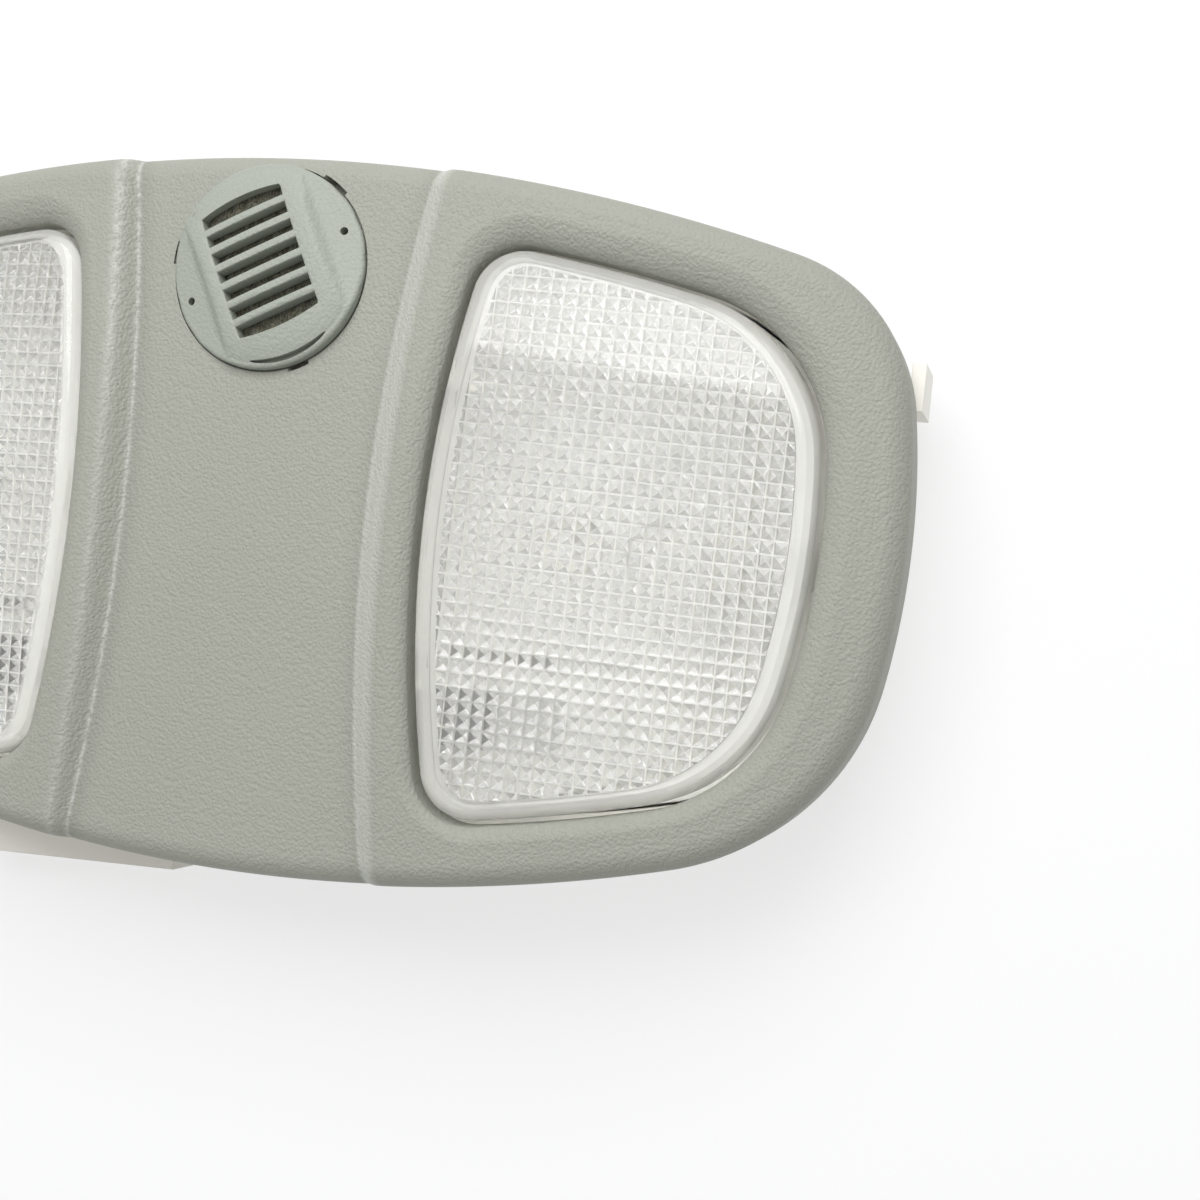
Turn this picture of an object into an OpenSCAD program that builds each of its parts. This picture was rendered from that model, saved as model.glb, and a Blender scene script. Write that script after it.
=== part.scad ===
// Overhead dome and map lamp of a car, lying face up on its rear housing.
// +X runs along the lamp, +Y towards the windscreen, +Z out of the face, and z = 0 is what it rests on.

/* [Bezel] */
// Length of the bezel
bezel_w = 224.8; // [215:0.2:240]
// Place of the front edge on the centre line
front_y = 62.3; // [60:0.1:70]
// Place of the rear edge on the centre line
rear_y = 62.6; // [60:0.1:70]
// Radius of the front edge in plan
front_r = 345; // [300:5:400]
// Radius of the rear edge in plan
rear_r = 305; // [280:5:360]
// Radius of the two ends in plan
side_r = 140; // [120:5:180]
// How far the ends bulge ahead of the centre
side_y = 6; // [0:1:10]
// Radius of the front corners
front_corner_r = 28; // [20:1:32]
// Radius of the rear corners
rear_corner_r = 42; // [30:1:46]
// Height of the crowned face above the surface it lies on
face_h = 44.6; // [40:0.2:55]
// Radius of the crown along the lamp
crown_x_r = 550; // [500:10:900]
// Radius of the crown across the lamp
crown_y_r = 700; // [500:10:1200]
// Wall of the bezel
wall = 2.6; // [2:0.1:3]
// Depth of the skirt round the edge
skirt_h = 12; // [10:0.5:14]

/* [Centre panel] */
// Width of the sunk panel at its waist
panel_w = 46.2; // [44:0.2:50]
// Radius that the panel's sides bow to
panel_bow_r = 330; // [280:10:500]
// Width of the sloping step at the waist
step_w = 3.8; // [2:0.1:5]
// Radius that the step's outer line bows to
step_bow_r = 450; // [400:10:600]
// Depth of the panel in the middle
recess_mid = 4.0; // [2:0.1:5]
// Depth of the panel at the two edges
recess_end = 2.6; // [1:0.1:4]

/* [Lenses] */
// Place of a lens's inner edge
lens_x = 33.5; // [32:0.1:36]
// Margin between lens and bezel edge at the front
lens_front_margin = 11.6; // [10:0.1:14]
// Margin between lens and bezel edge at the rear
lens_rear_margin = 11; // [10:0.1:14]
// Margin between lens and bezel edge at the end
lens_side_margin = 14.4; // [12:0.1:18]
// Radius that a lens's inner edge bows to
lens_inner_r = 215; // [180:5:300]
// Radius of the lens's outer corners
lens_corner_r = 28; // [20:1:30]
// Radius of the lens's inner corners
lens_inner_corner_r = 8.5; // [6:0.5:12]
// Gap between lens and bezel all round
lens_gap = 0.9; // [0.8:0.1:1.4]
// How far a lens lies below the crown
lens_recess = 1.2; // [0.8:0.1:2]
// Thickness of the lens face
lens_t = 2.2; // [1.8:0.1:3]
// Depth of the lens with its skirt
lens_h = 8.5; // [7:0.5:9]
// Widest part of the rolled edge round a lens
roll_max = 5; // [3:0.1:5.5]
// Narrowest part of the rolled edge round a lens
roll_min = 2.2; // [1.5:0.1:3]
// Angle through which a lens is pushed
push_angle = 2.4; // [1:0.1:2.6]

/* [Grille cap] */
// Radius of the round cap
cap_r = 17.9; // [16:0.1:18.4]
// Place of the cap ahead of the centre
cap_y = 42; // [38:0.1:42]
// Turn of the cap's slots
cap_turn = 26.5; // [0:0.5:60]
// Height of the cap's middle band above its seat
cap_h = 3.6; // [2.6:0.1:4.5]
// Width of the raised middle band
cap_band_w = 21; // [19:0.5:23]
// Length of the slots
slot_l = 15.45; // [12:0.05:17]
// Width of a slot
slot_w = 2; // [1:0.1:2.4]
// Distance from slot to slot
slot_pitch = 3.42; // [2.6:0.02:3.8]
// Number of slots
slot_count = 7; // [3:1:7]

/* [Rear housing] */
// Wall of the lamp wells and of the plates
rear_wall = 2; // [1.6:0.1:2.4]
// Gap between a lens and the well round it
well_gap = 1.6; // [1.2:0.1:2]
// Height of the perimeter plate above the rest face
plate_z = 22; // [18:0.5:22]
// Radius of the mounting holes
mount_hole_r = 2.6; // [2:0.1:3.5]
// Distance between the mounting holes
mount_spacing = 132; // [128:1:140]

/* [Mechanism] */
// Distance of a lens's hinge axis from the centre line
hinge_x = 37.2; // [36.8:0.1:38]
// Height of the hinge axis
hinge_z = 29.5; // [29:0.1:29.8]
// Radius of the hinge trunnions
trunnion_r = 1.5; // [1.2:0.1:1.8]
// Running clearance round trunnions and plungers
running_gap = 0.05; // [0.02:0.01:0.09]
// Radius of the switch plunger
plunger_r = 2; // [1.5:0.1:2.4]
// Clearance between pieces that move past each other
free_gap = 0.4; // [0.3:0.05:0.6]

/* [Hidden] */
$fn = 48;
arc_steps = 6;
panel_rows = 16;
side_cols = 9;
grey = [0.67, 0.67, 0.63];
cap_grey = [0.72, 0.75, 0.71];
clear = [0.88, 0.91, 0.93, 0.55];
cream = [0.90, 0.89, 0.84];
white = [0.94, 0.94, 0.91];
brass = [0.80, 0.66, 0.35];
steel = [0.70, 0.71, 0.72];
black = [0.10, 0.10, 0.10];

// height of the crown over a point
function crown(x, y) = face_h - x * x / (2 * crown_x_r) - y * y / (2 * crown_y_r);

// An outline is four big arcs, [x, y, radius], joined by tangent corners.
// It turns one way all round, so a point on it is found by the direction of its normal.
function unit(a) = [cos(a), sin(a)];
function angle_of(v) = let (a = atan2(v[1], v[0])) a < -45 ? a + 360 : a;
function corner_centre(a, b, r) =
    let (ca = [a[0], a[1]], cb = [b[0], b[1]], ra = a[2] - r, rb = b[2] - r,
         d = norm(cb - ca), e = (cb - ca) / d,
         along = (ra * ra - rb * rb + d * d) / (2 * d),
         off = sqrt(ra * ra - along * along))
    ca + along * e + off * [-e[1], e[0]];
function corners(arcs, radii) = [for (i = [0:3])
    let (c = corner_centre(arcs[i], arcs[(i + 1) % 4], radii[i])) [c[0], c[1], radii[i]]];
// the stretches of an outline as [x, y, radius, first normal, last normal]
function stretches(arcs, radii) =
    let (f = corners(arcs, radii))
    [for (i = [0:3]) each let (a = arcs[i], here = f[i], last = f[(i + 3) % 4], next = arcs[(i + 1) % 4],
         start = angle_of([last[0] - a[0], last[1] - a[1]]),
         stop = angle_of([here[0] - a[0], here[1] - a[1]]),
         after = angle_of([here[0] - next[0], here[1] - next[1]]))
        [[a[0], a[1], a[2], i == 0 && start > 180 ? start - 360 : start, stop],
         [here[0], here[1], here[2], stop, after < stop ? after + 360 : after]]];
// points of an outline with their normals, each [x, y, normal]
function outline(shape, d = 0) = [for (s = shape) for (k = [0:arc_steps - 1])
    let (a = s[3] + (s[4] - s[3]) * k / arc_steps, r = s[2] + d)
    [s[0] + r * cos(a), s[1] + r * sin(a), a]];
function flat(points) = [for (p = points) [p[0], p[1]]];

end_x = bezel_w / 2;
bezel_arcs = [
    [end_x - side_r, side_y, side_r],
    [0, front_y - front_r, front_r],
    [side_r - end_x, side_y, side_r],
    [0, rear_r - rear_y, rear_r]];
bezel_shape = stretches(bezel_arcs, [front_corner_r, front_corner_r, rear_corner_r, rear_corner_r]);
lens_arcs = [
    [end_x - side_r, side_y, side_r - lens_side_margin],
    [0, front_y - front_r, front_r - lens_front_margin],
    [lens_x + lens_inner_r, -1, lens_inner_r],
    [0, rear_r - rear_y, rear_r - lens_rear_margin]];
lens_shape = stretches(lens_arcs, [lens_corner_r, lens_inner_corner_r, lens_inner_corner_r, lens_corner_r]);

// faces that join two rings of n points and that close a ring onto one point
function band(a, b, n) = [for (k = [0:n - 1]) let (m = (k + 1) % n)
    each [[a + k, a + m, b + m], [a + k, b + m, b + k]]];
function fan(a, p, n, up) = [for (k = [0:n - 1]) let (m = (k + 1) % n)
    up ? [a + m, a + k, p] : [a + k, a + m, p]];

// A tray: outer rings from the bottom up, closed by a point, and inner rings from the bottom up.
// A ring is [offset, depth below the crown, share of the way from the middle].
module crowned_tray(shape, outer, inner) {
    mid = outline(shape);
    n = len(mid);
    cx = (min([for (p = mid) p[0]]) + max([for (p = mid) p[0]])) / 2;
    cy = (min([for (p = mid) p[1]]) + max([for (p = mid) p[1]])) / 2;
    rings = concat(outer, inner);
    many = len(rings);
    top = len(outer) - 1;
    points = concat(
        [for (r = rings) for (p = outline(shape, r[0]))
            let (x = cx + (p[0] - cx) * r[2], y = cy + (p[1] - cy) * r[2]) [x, y, crown(x, y) - r[1]]],
        [[cx, cy, crown(cx, cy) - outer[top][1]], [cx, cy, crown(cx, cy) - rings[many - 1][1]]]);
    faces = concat(
        [for (i = [0:top - 1]) each band(n * (i + 1), n * i, n)],
        fan(n * top, n * many, n, true),
        band(0, n * (top + 1), n),
        [for (i = [top + 1:many - 2]) each band(n * i, n * (i + 1), n)],
        fan(n * (many - 1), n * many + 1, n, false));
    polyhedron(points, faces, 4);
}

// A wall that stands round an outline, from one depth below the crown to another.
module crowned_wall(shape, inside, outside, top, bottom) {
    n = len(outline(shape));
    points = [for (r = [[outside, bottom], [outside, top], [inside, top], [inside, bottom]])
        for (p = outline(shape, r[0])) [p[0], p[1], crown(p[0], p[1]) - r[1]]];
    polyhedron(points, [for (i = [0:3]) each band(n * ((i + 1) % 4), n * i, n)], 4);
}

// mirrors a right-hand piece onto the left
module on_side(side) {
    if (side > 0) children();
    else mirror([1, 0, 0]) children();
}

// BEZEL
// The face is a ladder of columns that run from the rear edge to the front edge. Two of them on each
// side follow the step of the sunk panel, which is a straight slope between its two bowed lines.
function bow(x, r, y) = x + y * y / (2 * r);
function step_in(y) = bow(panel_w / 2, panel_bow_r, y);
function step_out(y) = bow(panel_w / 2 + step_w, step_bow_r, y);
function recess(y) = recess_mid + (recess_end - recess_mid) * (y * y) / (front_y * rear_y);

face_in = 5;
edge_arcs = [for (s = bezel_shape) [s[0], s[1], s[2] - face_in, s[3], s[4]]];
face_end = end_x - face_in;
// the stretch of the face's edge over a place along the lamp, front half 1 and rear half -1
function edge_arc(x, half) =
    let (corner = half > 0 ? edge_arcs[1] : edge_arcs[7],
         long = half > 0 ? edge_arcs[2] : edge_arcs[6],
         side = edge_arcs[0],
         x1 = long[0] + long[2] * cos(half > 0 ? long[3] : long[4]),
         x2 = side[0] + side[2] * cos(half > 0 ? side[4] : side[3]))
    x <= x1 ? long : x <= x2 ? corner : side;
function edge_normal(x, half) = let (s = edge_arc(abs(x), half), a = acos(min(1, (abs(x) - s[0]) / s[2])))
    (x < 0 ? 180 - a : a) * half;
function edge_y(x, half) = let (s = edge_arc(abs(x), half))
    s[1] + half * sqrt(max(0, s[2] * s[2] - (abs(x) - s[0]) * (abs(x) - s[0])));

flank = step_out(front_y) + 1;
panel_shares = [0, 0.36, 0.72];
half_cols = concat(
    [for (s = panel_shares) [s, 0]], [[1, 1], [1, 2]],
    [for (i = [1:side_cols - 1]) [flank + (face_end - flank) * sin(90 * i / side_cols), 3]]);
cols = concat([for (i = [len(half_cols) - 1:-1:1]) [-half_cols[i][0], half_cols[i][1]]], half_cols);
function col_x(c, y) = c[1] == 3 ? c[0] : c[1] == 2 ? sign(c[0]) * step_out(y) : c[0] * step_in(y);
function col_end(c, half) = let (
    y1 = edge_y(col_x(c, half * front_y), half),
    y2 = edge_y(col_x(c, y1), half)) [col_x(c, y2), edge_y(col_x(c, y2), half)];
function col_recess(c, y) = c[1] < 2 ? recess(y) : 0;

// The face of the bezel, moved down by a wall, with its edge rings: each ring is [offset, depth].
function face_points(drop, rings) = concat(
    [for (c = cols) let (low = col_end(c, -1), high = col_end(c, 1))
        for (j = [0:panel_rows]) let (
            y = low[1] + (high[1] - low[1]) * j / panel_rows,
            x = j == 0 ? low[0] : j == panel_rows ? high[0] : col_x(c, y))
            [x, y, crown(x, y) - col_recess(c, y) - drop]],
    [for (e = [-face_end, face_end]) [e, side_y, crown(e, side_y) - drop]],
    [for (r = rings) each ring_points(r)]);
function ring_points(r) = let (out = r[0] + face_in) concat(
    [edge_point(face_end, side_y, 0, out, r[1])],
    [for (i = [len(cols) - 1:-1:0]) let (p = col_end(cols[i], 1))
        edge_point(p[0], p[1], edge_normal(p[0], 1), out, r[1] + col_recess(cols[i], p[1]))],
    [edge_point(-face_end, side_y, 180, out, r[1])],
    [for (c = cols) let (p = col_end(c, -1))
        edge_point(p[0], p[1], edge_normal(p[0], -1), out, r[1] + col_recess(c, p[1]))]);
function edge_point(x, y, a, out, depth) = let (p = [x, y] + out * unit(a)) [p[0], p[1], crown(p[0], p[1]) - depth];

col_count = len(cols);
edge_count = 2 * col_count + 2;
grid_count = col_count * (panel_rows + 1) + 2;
function grid(i, j) = i * (panel_rows + 1) + j;
function edge_index(k) = k == 0 ? grid_count - 1
    : k <= col_count ? grid(col_count - k, panel_rows)
    : k == col_count + 1 ? grid_count - 2
    : grid(k - col_count - 2, 0);
// index of point k on ring r, where ring 0 is the edge of the grid
function ring_index(r, k) = r == 0 ? edge_index(k % edge_count) : grid_count + (r - 1) * edge_count + k % edge_count;
function flip(faces) = [for (f = faces) [f[2], f[1], f[0]]];
function shift(faces, by) = [for (f = faces) [f[0] + by, f[1] + by, f[2] + by]];
function face_faces(ring_total) = concat(
    [for (i = [0:col_count - 2]) for (j = [0:panel_rows - 1])
        each [[grid(i, j), grid(i, j + 1), grid(i + 1, j + 1)], [grid(i, j), grid(i + 1, j + 1), grid(i + 1, j)]]],
    [for (j = [0:panel_rows - 1]) each [
        [grid_count - 2, grid(0, j + 1), grid(0, j)],
        [grid_count - 1, grid(col_count - 1, j), grid(col_count - 1, j + 1)]]],
    [for (r = [0:ring_total - 1]) for (k = [0:edge_count - 1]) each [
        [ring_index(r, k), ring_index(r, k + 1), ring_index(r + 1, k + 1)],
        [ring_index(r, k), ring_index(r + 1, k + 1), ring_index(r + 1, k)]]]);

outer_rings = [[-2.6, 0.25], [-1, 1.1], [-0.2, 2.6], [0, 4.5], [0, skirt_h]];
inner_rings = [[-wall - 0.6, wall + 1.4], [-wall, wall + 4], [-wall, skirt_h]];

module bezel_shell() {
    top = face_points(0, outer_rings);
    under = face_points(wall, inner_rings);
    t = len(top);
    n_out = len(outer_rings);
    n_in = len(inner_rings);
    rim = [for (k = [0:edge_count - 1]) each [
        [ring_index(n_out, k), ring_index(n_out, k + 1), t + ring_index(n_in, k + 1)],
        [ring_index(n_out, k), t + ring_index(n_in, k + 1), t + ring_index(n_in, k)]]];
    polyhedron(concat(top, under), concat(face_faces(n_out), shift(flip(face_faces(n_in)), t), rim), 4);
}

// How wide the bezel's edge rolls into a lens opening: widest at the front outer corner.
function roll(a) = roll_min + (roll_max - roll_min) * (1 + cos(a - 50)) / 2;
module lens_opening() {
    mid = outline(lens_shape);
    n = len(mid);
    turns = [90, 60, 30, 0];
    over = 6;
    cx = lens_x + (face_end - lens_x) / 2;
    function ring(spread, depth) = [for (s = lens_shape) for (k = [0:arc_steps - 1]) let (
        a = s[3] + (s[4] - s[3]) * k / arc_steps,
        r = s[2] + lens_gap + spread * roll(a),
        x = s[0] + r * cos(a), y = s[1] + r * sin(a))
        [x, y, crown(x, y) - depth * roll(a) * 0.7]];
    base = [for (p = ring(0, 1)) [p[0], p[1], p[2] - skirt_h]];
    lid = [for (p = ring(1.5, 0)) [p[0], p[1], p[2] + over]];
    rings = concat([base], [for (t = turns) ring(1 - sin(t), 1 - cos(t))], [lid]);
    count = len(rings);
    points = concat([for (r = rings) each r],
        [[cx, 0, crown(cx, 0) - 2 * skirt_h], [cx, 0, crown(cx, 0) + over]]);
    polyhedron(points, concat([for (i = [0:count - 2]) each band(n * (i + 1), n * i, n)],
        fan(0, n * count, n, false), fan(n * (count - 1), n * count + 1, n, true)), 4);
}

// The seat of the cap: the panel's floor at the cap's centre, and its slope there.
seat_z = crown(0, cap_y) - recess(cap_y);
seat_tilt = atan(cap_y / crown_y_r + 2 * cap_y * (recess_end - recess_mid) / (front_y * rear_y));
module at_seat() {
    translate([0, cap_y, seat_z]) rotate([-seat_tilt, 0, 0]) rotate([0, 0, cap_turn]) children();
}
spigot_r = cap_r - 2;
spigot_l = 6;
notch_w = 3.4;
notch_turns = [28, 148, 268];
lug_t = 1.4;
well_wall = 1.8;
well_depth = 7;

// Screws pass up through the rear housing's tabs into these bosses.
screw_x = lens_x - 1.5;
screw_y = 52;
screw_spots = [for (x = [1, -1]) for (y = [1, -1]) [x * screw_x, y * screw_y]];
boss_r = 3.2;
pilot_r = 1.1;
screw_r = 1.4;
screw_l = 9;
tab_top = plate_z + rear_wall;

module bezel() {
    color(grey) difference() {
        union() {
            bezel_shell();
            for (s = [1, -1]) on_side(s)
                crowned_wall(lens_shape, lens_gap - 0.3, lens_gap + well_wall, 1.6, well_depth);
            for (p = screw_spots) translate([p[0], p[1], tab_top])
                cylinder(r = boss_r, h = crown(p[0], p[1]) - wall + 0.6 - tab_top - (abs(p[0]) < step_in(p[1]) ? recess(p[1]) : 0));
        }
        for (s = [1, -1]) on_side(s) lens_opening();
        at_seat() {
            translate([0, 0, -2 * wall]) cylinder(r = spigot_r + 0.3, h = 3 * wall);
            translate([0, 0, -1]) cylinder(r = cap_r + 0.25, h = 6);
            for (a = notch_turns) rotate([0, 0, a]) translate([spigot_r - 1, -notch_w / 2, -2 * wall])
                cube([cap_r + 1.2 - spigot_r + 1, notch_w, 3 * wall]);
        }
        for (p = screw_spots) translate([p[0], p[1], tab_top - 1]) cylinder(r = pilot_r, h = 9);
    }
}

// LENSES
// A lens is a crowned tray with a rounded rim, two hinge lugs at its inner side and a push pad outside.
skirt_low = lens_recess + lens_h;
rim_t = 2;
socket_y = -32.5;
socket_w = 10;
ear_w = 3;
ear_gap = free_gap;
lug_w = 3.2;
lug_y = -socket_y - socket_w / 2 - 0.6 - ear_w - ear_gap - lug_w / 2;
trunnion_l = 4;
lug_x0 = lens_x + 2;
lug_foot = hinge_z - 2.4;
lug_drop = 9.5;
arm = end_x - lens_side_margin - 2.6 - hinge_x;
pad_x = hinge_x + arm;
pad_z = crown(pad_x, 0) - skirt_low - 1.6;
pad_w = 3.4;
module lens_body() {
    crowned_tray(lens_shape,
        [[0, skirt_low, 1], [0, lens_recess + 2.6, 1], [-0.4, lens_recess + 1.2, 1], [-1.3, lens_recess + 0.4, 1],
         [-2.8, lens_recess, 1], [-4.4, lens_recess, 0.6], [-4.4, lens_recess, 0.25]],
        [[-rim_t, skirt_low, 1], [-rim_t, lens_recess + lens_t + 0.8, 1], [-3.4, lens_recess + lens_t + 0.8, 1],
         [-4.4, lens_recess + lens_t + 0.8, 0.6], [-4.4, lens_recess + lens_t + 0.8, 0.25]]);
    for (e = [1, -1]) {
        translate([lug_x0, e * lug_y - lug_w / 2, lug_foot]) cube([3.9, lug_w, face_h - lug_drop - lug_foot]);
        translate([hinge_x, e * (lug_y + trunnion_l), hinge_z]) rotate([90 * e, 0, 0])
            cylinder(r = trunnion_r, h = trunnion_l + 0.5);
    }
    translate([pad_x - pad_w / 2, -4, pad_z]) cube([pad_w, 8, 3]);
}
module lens_right() { color(clear) lens_body(); }
module lens_left() { color(clear) on_side(-1) lens_body(); }

// REAR HOUSING
// Two lamp wells that follow the lenses, a perimeter plate, a low centre bay and screw tabs.
can_out = well_gap + rear_wall;
can_top_in = crown(lens_x, 0) - skirt_low + 0.7;
can_top_out = crown(end_x - lens_side_margin, 0) - skirt_low + 0.7;
can_slope = atan((can_top_in - can_top_out) / (end_x - lens_side_margin - lens_x));
floor_t = rear_wall;
bay_z = 10;
bay_w = 2 * (lens_x + 2.5);
bay_y = 40;
ear_y = lug_y + lug_w / 2 + ear_gap;
ear_x0 = lens_x - well_gap - 1;
socket_x0 = lens_x + 1.9;
socket_l = 16;
switch_w = 11;
switch_l = 7;
switch_z = floor_t;
switch_h = 14;
bulb_r = 4.8;
bulb_z = 14.5;
clip_y = 31.5;
clip_w = 8;
mount_x = mount_spacing / 2;
boss_top = 6;
lip_t = 1.6;
lip_l = 130;
lip_top = crown(0, front_y) - skirt_h + 1.2;

module can_cut(drop = 0) {
    translate([lens_x, -100, can_top_in - drop]) rotate([0, can_slope, 0]) translate([-30, 0, 0]) cube([160, 200, 70]);
}
module can(side) {
    on_side(side) difference() {
        linear_extrude(50) polygon(flat(outline(lens_shape, can_out)));
        translate([0, 0, floor_t]) linear_extrude(60) polygon(flat(outline(lens_shape, well_gap)));
        can_cut();
    }
}
module ears() {
    for (e = [1, -1]) translate([ear_x0, e > 0 ? ear_y : -ear_y - ear_w, floor_t]) difference() {
        cube([hinge_x + 3.6 - ear_x0, ear_w, hinge_z + 3.1 - floor_t]);
        translate([hinge_x - ear_x0, -1, hinge_z - floor_t]) rotate([-90, 0, 0])
            cylinder(r = trunnion_r + running_gap, h = ear_w + 2);
    }
}
// upright lips that close the gap between the plate and the bezel's skirt, front and rear
module closing_lips() {
    intersection() {
        translate([0, 0, plate_z + 0.5]) linear_extrude(lip_top - plate_z - 0.5) difference() {
            polygon(flat(outline(bezel_shape, -wall - 1.2)));
            polygon(flat(outline(bezel_shape, -wall - 1.2 - lip_t)));
        }
        for (e = [1, -1]) translate([-lip_l / 2, e > 0 ? bay_y : -bay_y - 40, 0]) cube([lip_l, 40, face_h]);
    }
}
module rear_housing() {
    color(cream) difference() {
        union() {
            for (s = [1, -1]) {
                can(s);
                on_side(s) {
                    ears();
                    translate([mount_x, 0, 0]) cylinder(r = mount_hole_r + 3, h = boss_top);
                    side_clip();
                }
            }
            difference() {
                translate([0, 0, plate_z]) linear_extrude(rear_wall)
                    polygon(flat(outline(bezel_shape, -wall - 1.2)));
                for (s = [1, -1]) on_side(s) translate([0, 0, plate_z - 1]) linear_extrude(rear_wall + 2)
                    polygon(flat(outline(lens_shape, well_gap + 0.5)));
                translate([-bay_w / 2, -bay_y, plate_z - 1]) cube([bay_w, 2 * bay_y, rear_wall + 2]);
            }
            closing_lips();
            difference() {
                union() {
                    translate([-bay_w / 2, -bay_y - rear_wall, bay_z]) cube([bay_w, 2 * (bay_y + rear_wall), rear_wall]);
                    for (e = [1, -1]) translate([-bay_w / 2, e * (bay_y + rear_wall / 2) - rear_wall / 2, bay_z])
                        cube([bay_w, rear_wall, plate_z + rear_wall - bay_z]);
                }
                for (s = [1, -1]) on_side(s) translate([0, 0, bay_z - 1]) linear_extrude(40)
                    polygon(flat(outline(lens_shape, well_gap + 0.5)));
            }
            for (p = board_posts) translate([p[0], p[1], bay_z]) {
                cylinder(r = 3, h = board_z - bay_z);
                cylinder(r = post_r, h = board_z - bay_z + board_t + 0.8);
            }
        }
        for (s = [1, -1]) on_side(s) {
            translate([mount_x, 0, -1]) cylinder(r = mount_hole_r, h = boss_top + 2);
            for (z = strip_heights) translate([lens_x - can_out - 2, socket_y - 1.6, z - 0.5]) cube([7, 3.2, 1.6]);
        }
        for (p = screw_spots) translate([p[0], p[1], plate_z - 1]) cylinder(r = screw_r + 0.3, h = rear_wall + 2);
    }
}
// a snap tongue at the end of the lamp: a web that carries an upright flange
module side_clip() {
    web_top = plate_z + rear_wall;
    low = crown(end_x, 0) - skirt_h;
    translate([end_x - 14, clip_y - 1, 9]) cube([7, 2, web_top - 9]);
    translate([end_x - 8, clip_y - 1, 9]) cube([7, 2, low - 9.6]);
    translate([end_x - 3.1, clip_y - clip_w / 2, 8]) cube([2.4, clip_w, low - 8.6]);
}

// REFLECTORS
// A white insert on the well's floor, with a steep front wall and openings for bulb, switch and screw.
reflector_z = 6;
reflector_t = 1.2;
slope_y = 34;
slope_l = 26;
module reflector_body() {
    fit = well_gap - 0.5;
    difference() {
        union() {
            translate([0, 0, reflector_z + 1]) linear_extrude(reflector_t) polygon(flat(outline(lens_shape, fit)));
            intersection() {
                linear_extrude(face_h) polygon(flat(outline(lens_shape, fit)));
                translate([lens_x - 4, slope_y, reflector_z + 1]) rotate([60, 0, 0]) translate([0, 0, -reflector_t])
                    cube([bezel_w / 2 - lens_x, slope_l, reflector_t]);
            }
        }
        can_cut(5);
        translate([mount_x, 0, 0]) cylinder(r = mount_hole_r + 3.3, h = 20);
        translate([socket_x0 - 3, socket_y - socket_w / 2 - 0.4, 0]) cube([socket_l + 3.4, socket_w + 0.8, face_h]);
        translate([44, -22.4, 0]) cube([20, 2.4, 20]);
        translate([pad_x - switch_l / 2 - 0.4, -switch_w / 2 - 0.4, 0]) cube([switch_l + 8, switch_w + 0.8, face_h]);
        for (e = [1, -1]) translate([lens_x - 4, e > 0 ? ear_y - 0.4 : -ear_y - ear_w - 0.4, 0])
            cube([hinge_x + 8 - lens_x, ear_w + 0.8, face_h]);
    }
}
module reflector_right() { color(white) reflector_body(); }
module reflector_left() { color(white) on_side(-1) reflector_body(); }

// BULBS AND SOCKETS
module socket_body() {
    difference() {
        translate([socket_x0, socket_y - socket_w / 2, floor_t]) cube([socket_l, socket_w, bulb_z + 5.5 - floor_t]);
        translate([socket_x0 + 4, socket_y, bulb_z]) rotate([0, 90, 0]) cylinder(r = bulb_r - 1, h = socket_l);
    }
}
module bulb_socket_right() { color(black) socket_body(); }
module bulb_socket_left() { color(black) on_side(-1) socket_body(); }
module bulb_body() {
    translate([socket_x0 + 4.4, socket_y, bulb_z]) rotate([0, 90, 0]) cylinder(r = bulb_r - 1.2, h = socket_l - 3);
    translate([socket_x0 + socket_l + 0.3, socket_y, bulb_z]) rotate([0, 90, 0])
        rotate_extrude() polygon([[0, 0], [bulb_r - 1.2, 0], [bulb_r, 2.6], [bulb_r, 10], [3.9, 12.8], [2, 14.6], [0, 15]]);
}
module bulb_right() { color([0.95, 0.93, 0.85, 0.5]) bulb_body(); }
module bulb_left() { color([0.95, 0.93, 0.85, 0.5]) on_side(-1) bulb_body(); }

// SWITCHES
plunger_top = pad_z - free_gap;
plunger_low = switch_z + 4.5;
module switch_body() {
    difference() {
        translate([pad_x - switch_l / 2, -switch_w / 2, switch_z]) cube([switch_l, switch_w, switch_h]);
        translate([pad_x, 0, switch_z + 1]) cylinder(r = plunger_r + running_gap, h = switch_h);
    }
}
module switch_right() { color(cream) switch_body(); }
module switch_left() { color(cream) on_side(-1) switch_body(); }
module plunger_body() {
    translate([pad_x, 0, plunger_low]) cylinder(r = plunger_r, h = plunger_top - plunger_low);
    translate([pad_x, 0, plunger_top - 2]) cylinder(r = plunger_r + 0.9, h = 2);
}
module plunger_right() { color(white) plunger_body(); }
module plunger_left() { color(white) on_side(-1) plunger_body(); }

// ELECTRICAL PARTS
strip_t = 0.6;
board_z = 15;
board_t = 1.6;
board_size = [bay_w - 28, 1 - 2 * socket_y];
board_posts = [for (x = [-1, 1]) for (y = [-1, 1]) [x * (board_size[0] / 2 - 4), y * (board_size[1] / 2 - 4)]];
strip_heights = [board_z + board_t + 0.02, board_z + board_t + 3];
post_r = 1.45;
module strips_body() {
    for (i = [0, 1]) {
        translate([board_size[0] / 2 - 5 - 2 * i, socket_y - 1.2, strip_heights[i]])
            cube([socket_x0 - board_size[0] / 2 + 4.98 + 2 * i, 2.4, strip_t]);
    }
    translate([board_size[0] / 2 - 7, socket_y - 1.2, strip_heights[0]]) cube([strip_t, 2.4, strip_heights[1] - strip_heights[0] + strip_t]);
}
module contact_strips_right() { color(brass) strips_body(); }
module contact_strips_left() { color(brass) on_side(-1) strips_body(); }
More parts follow.
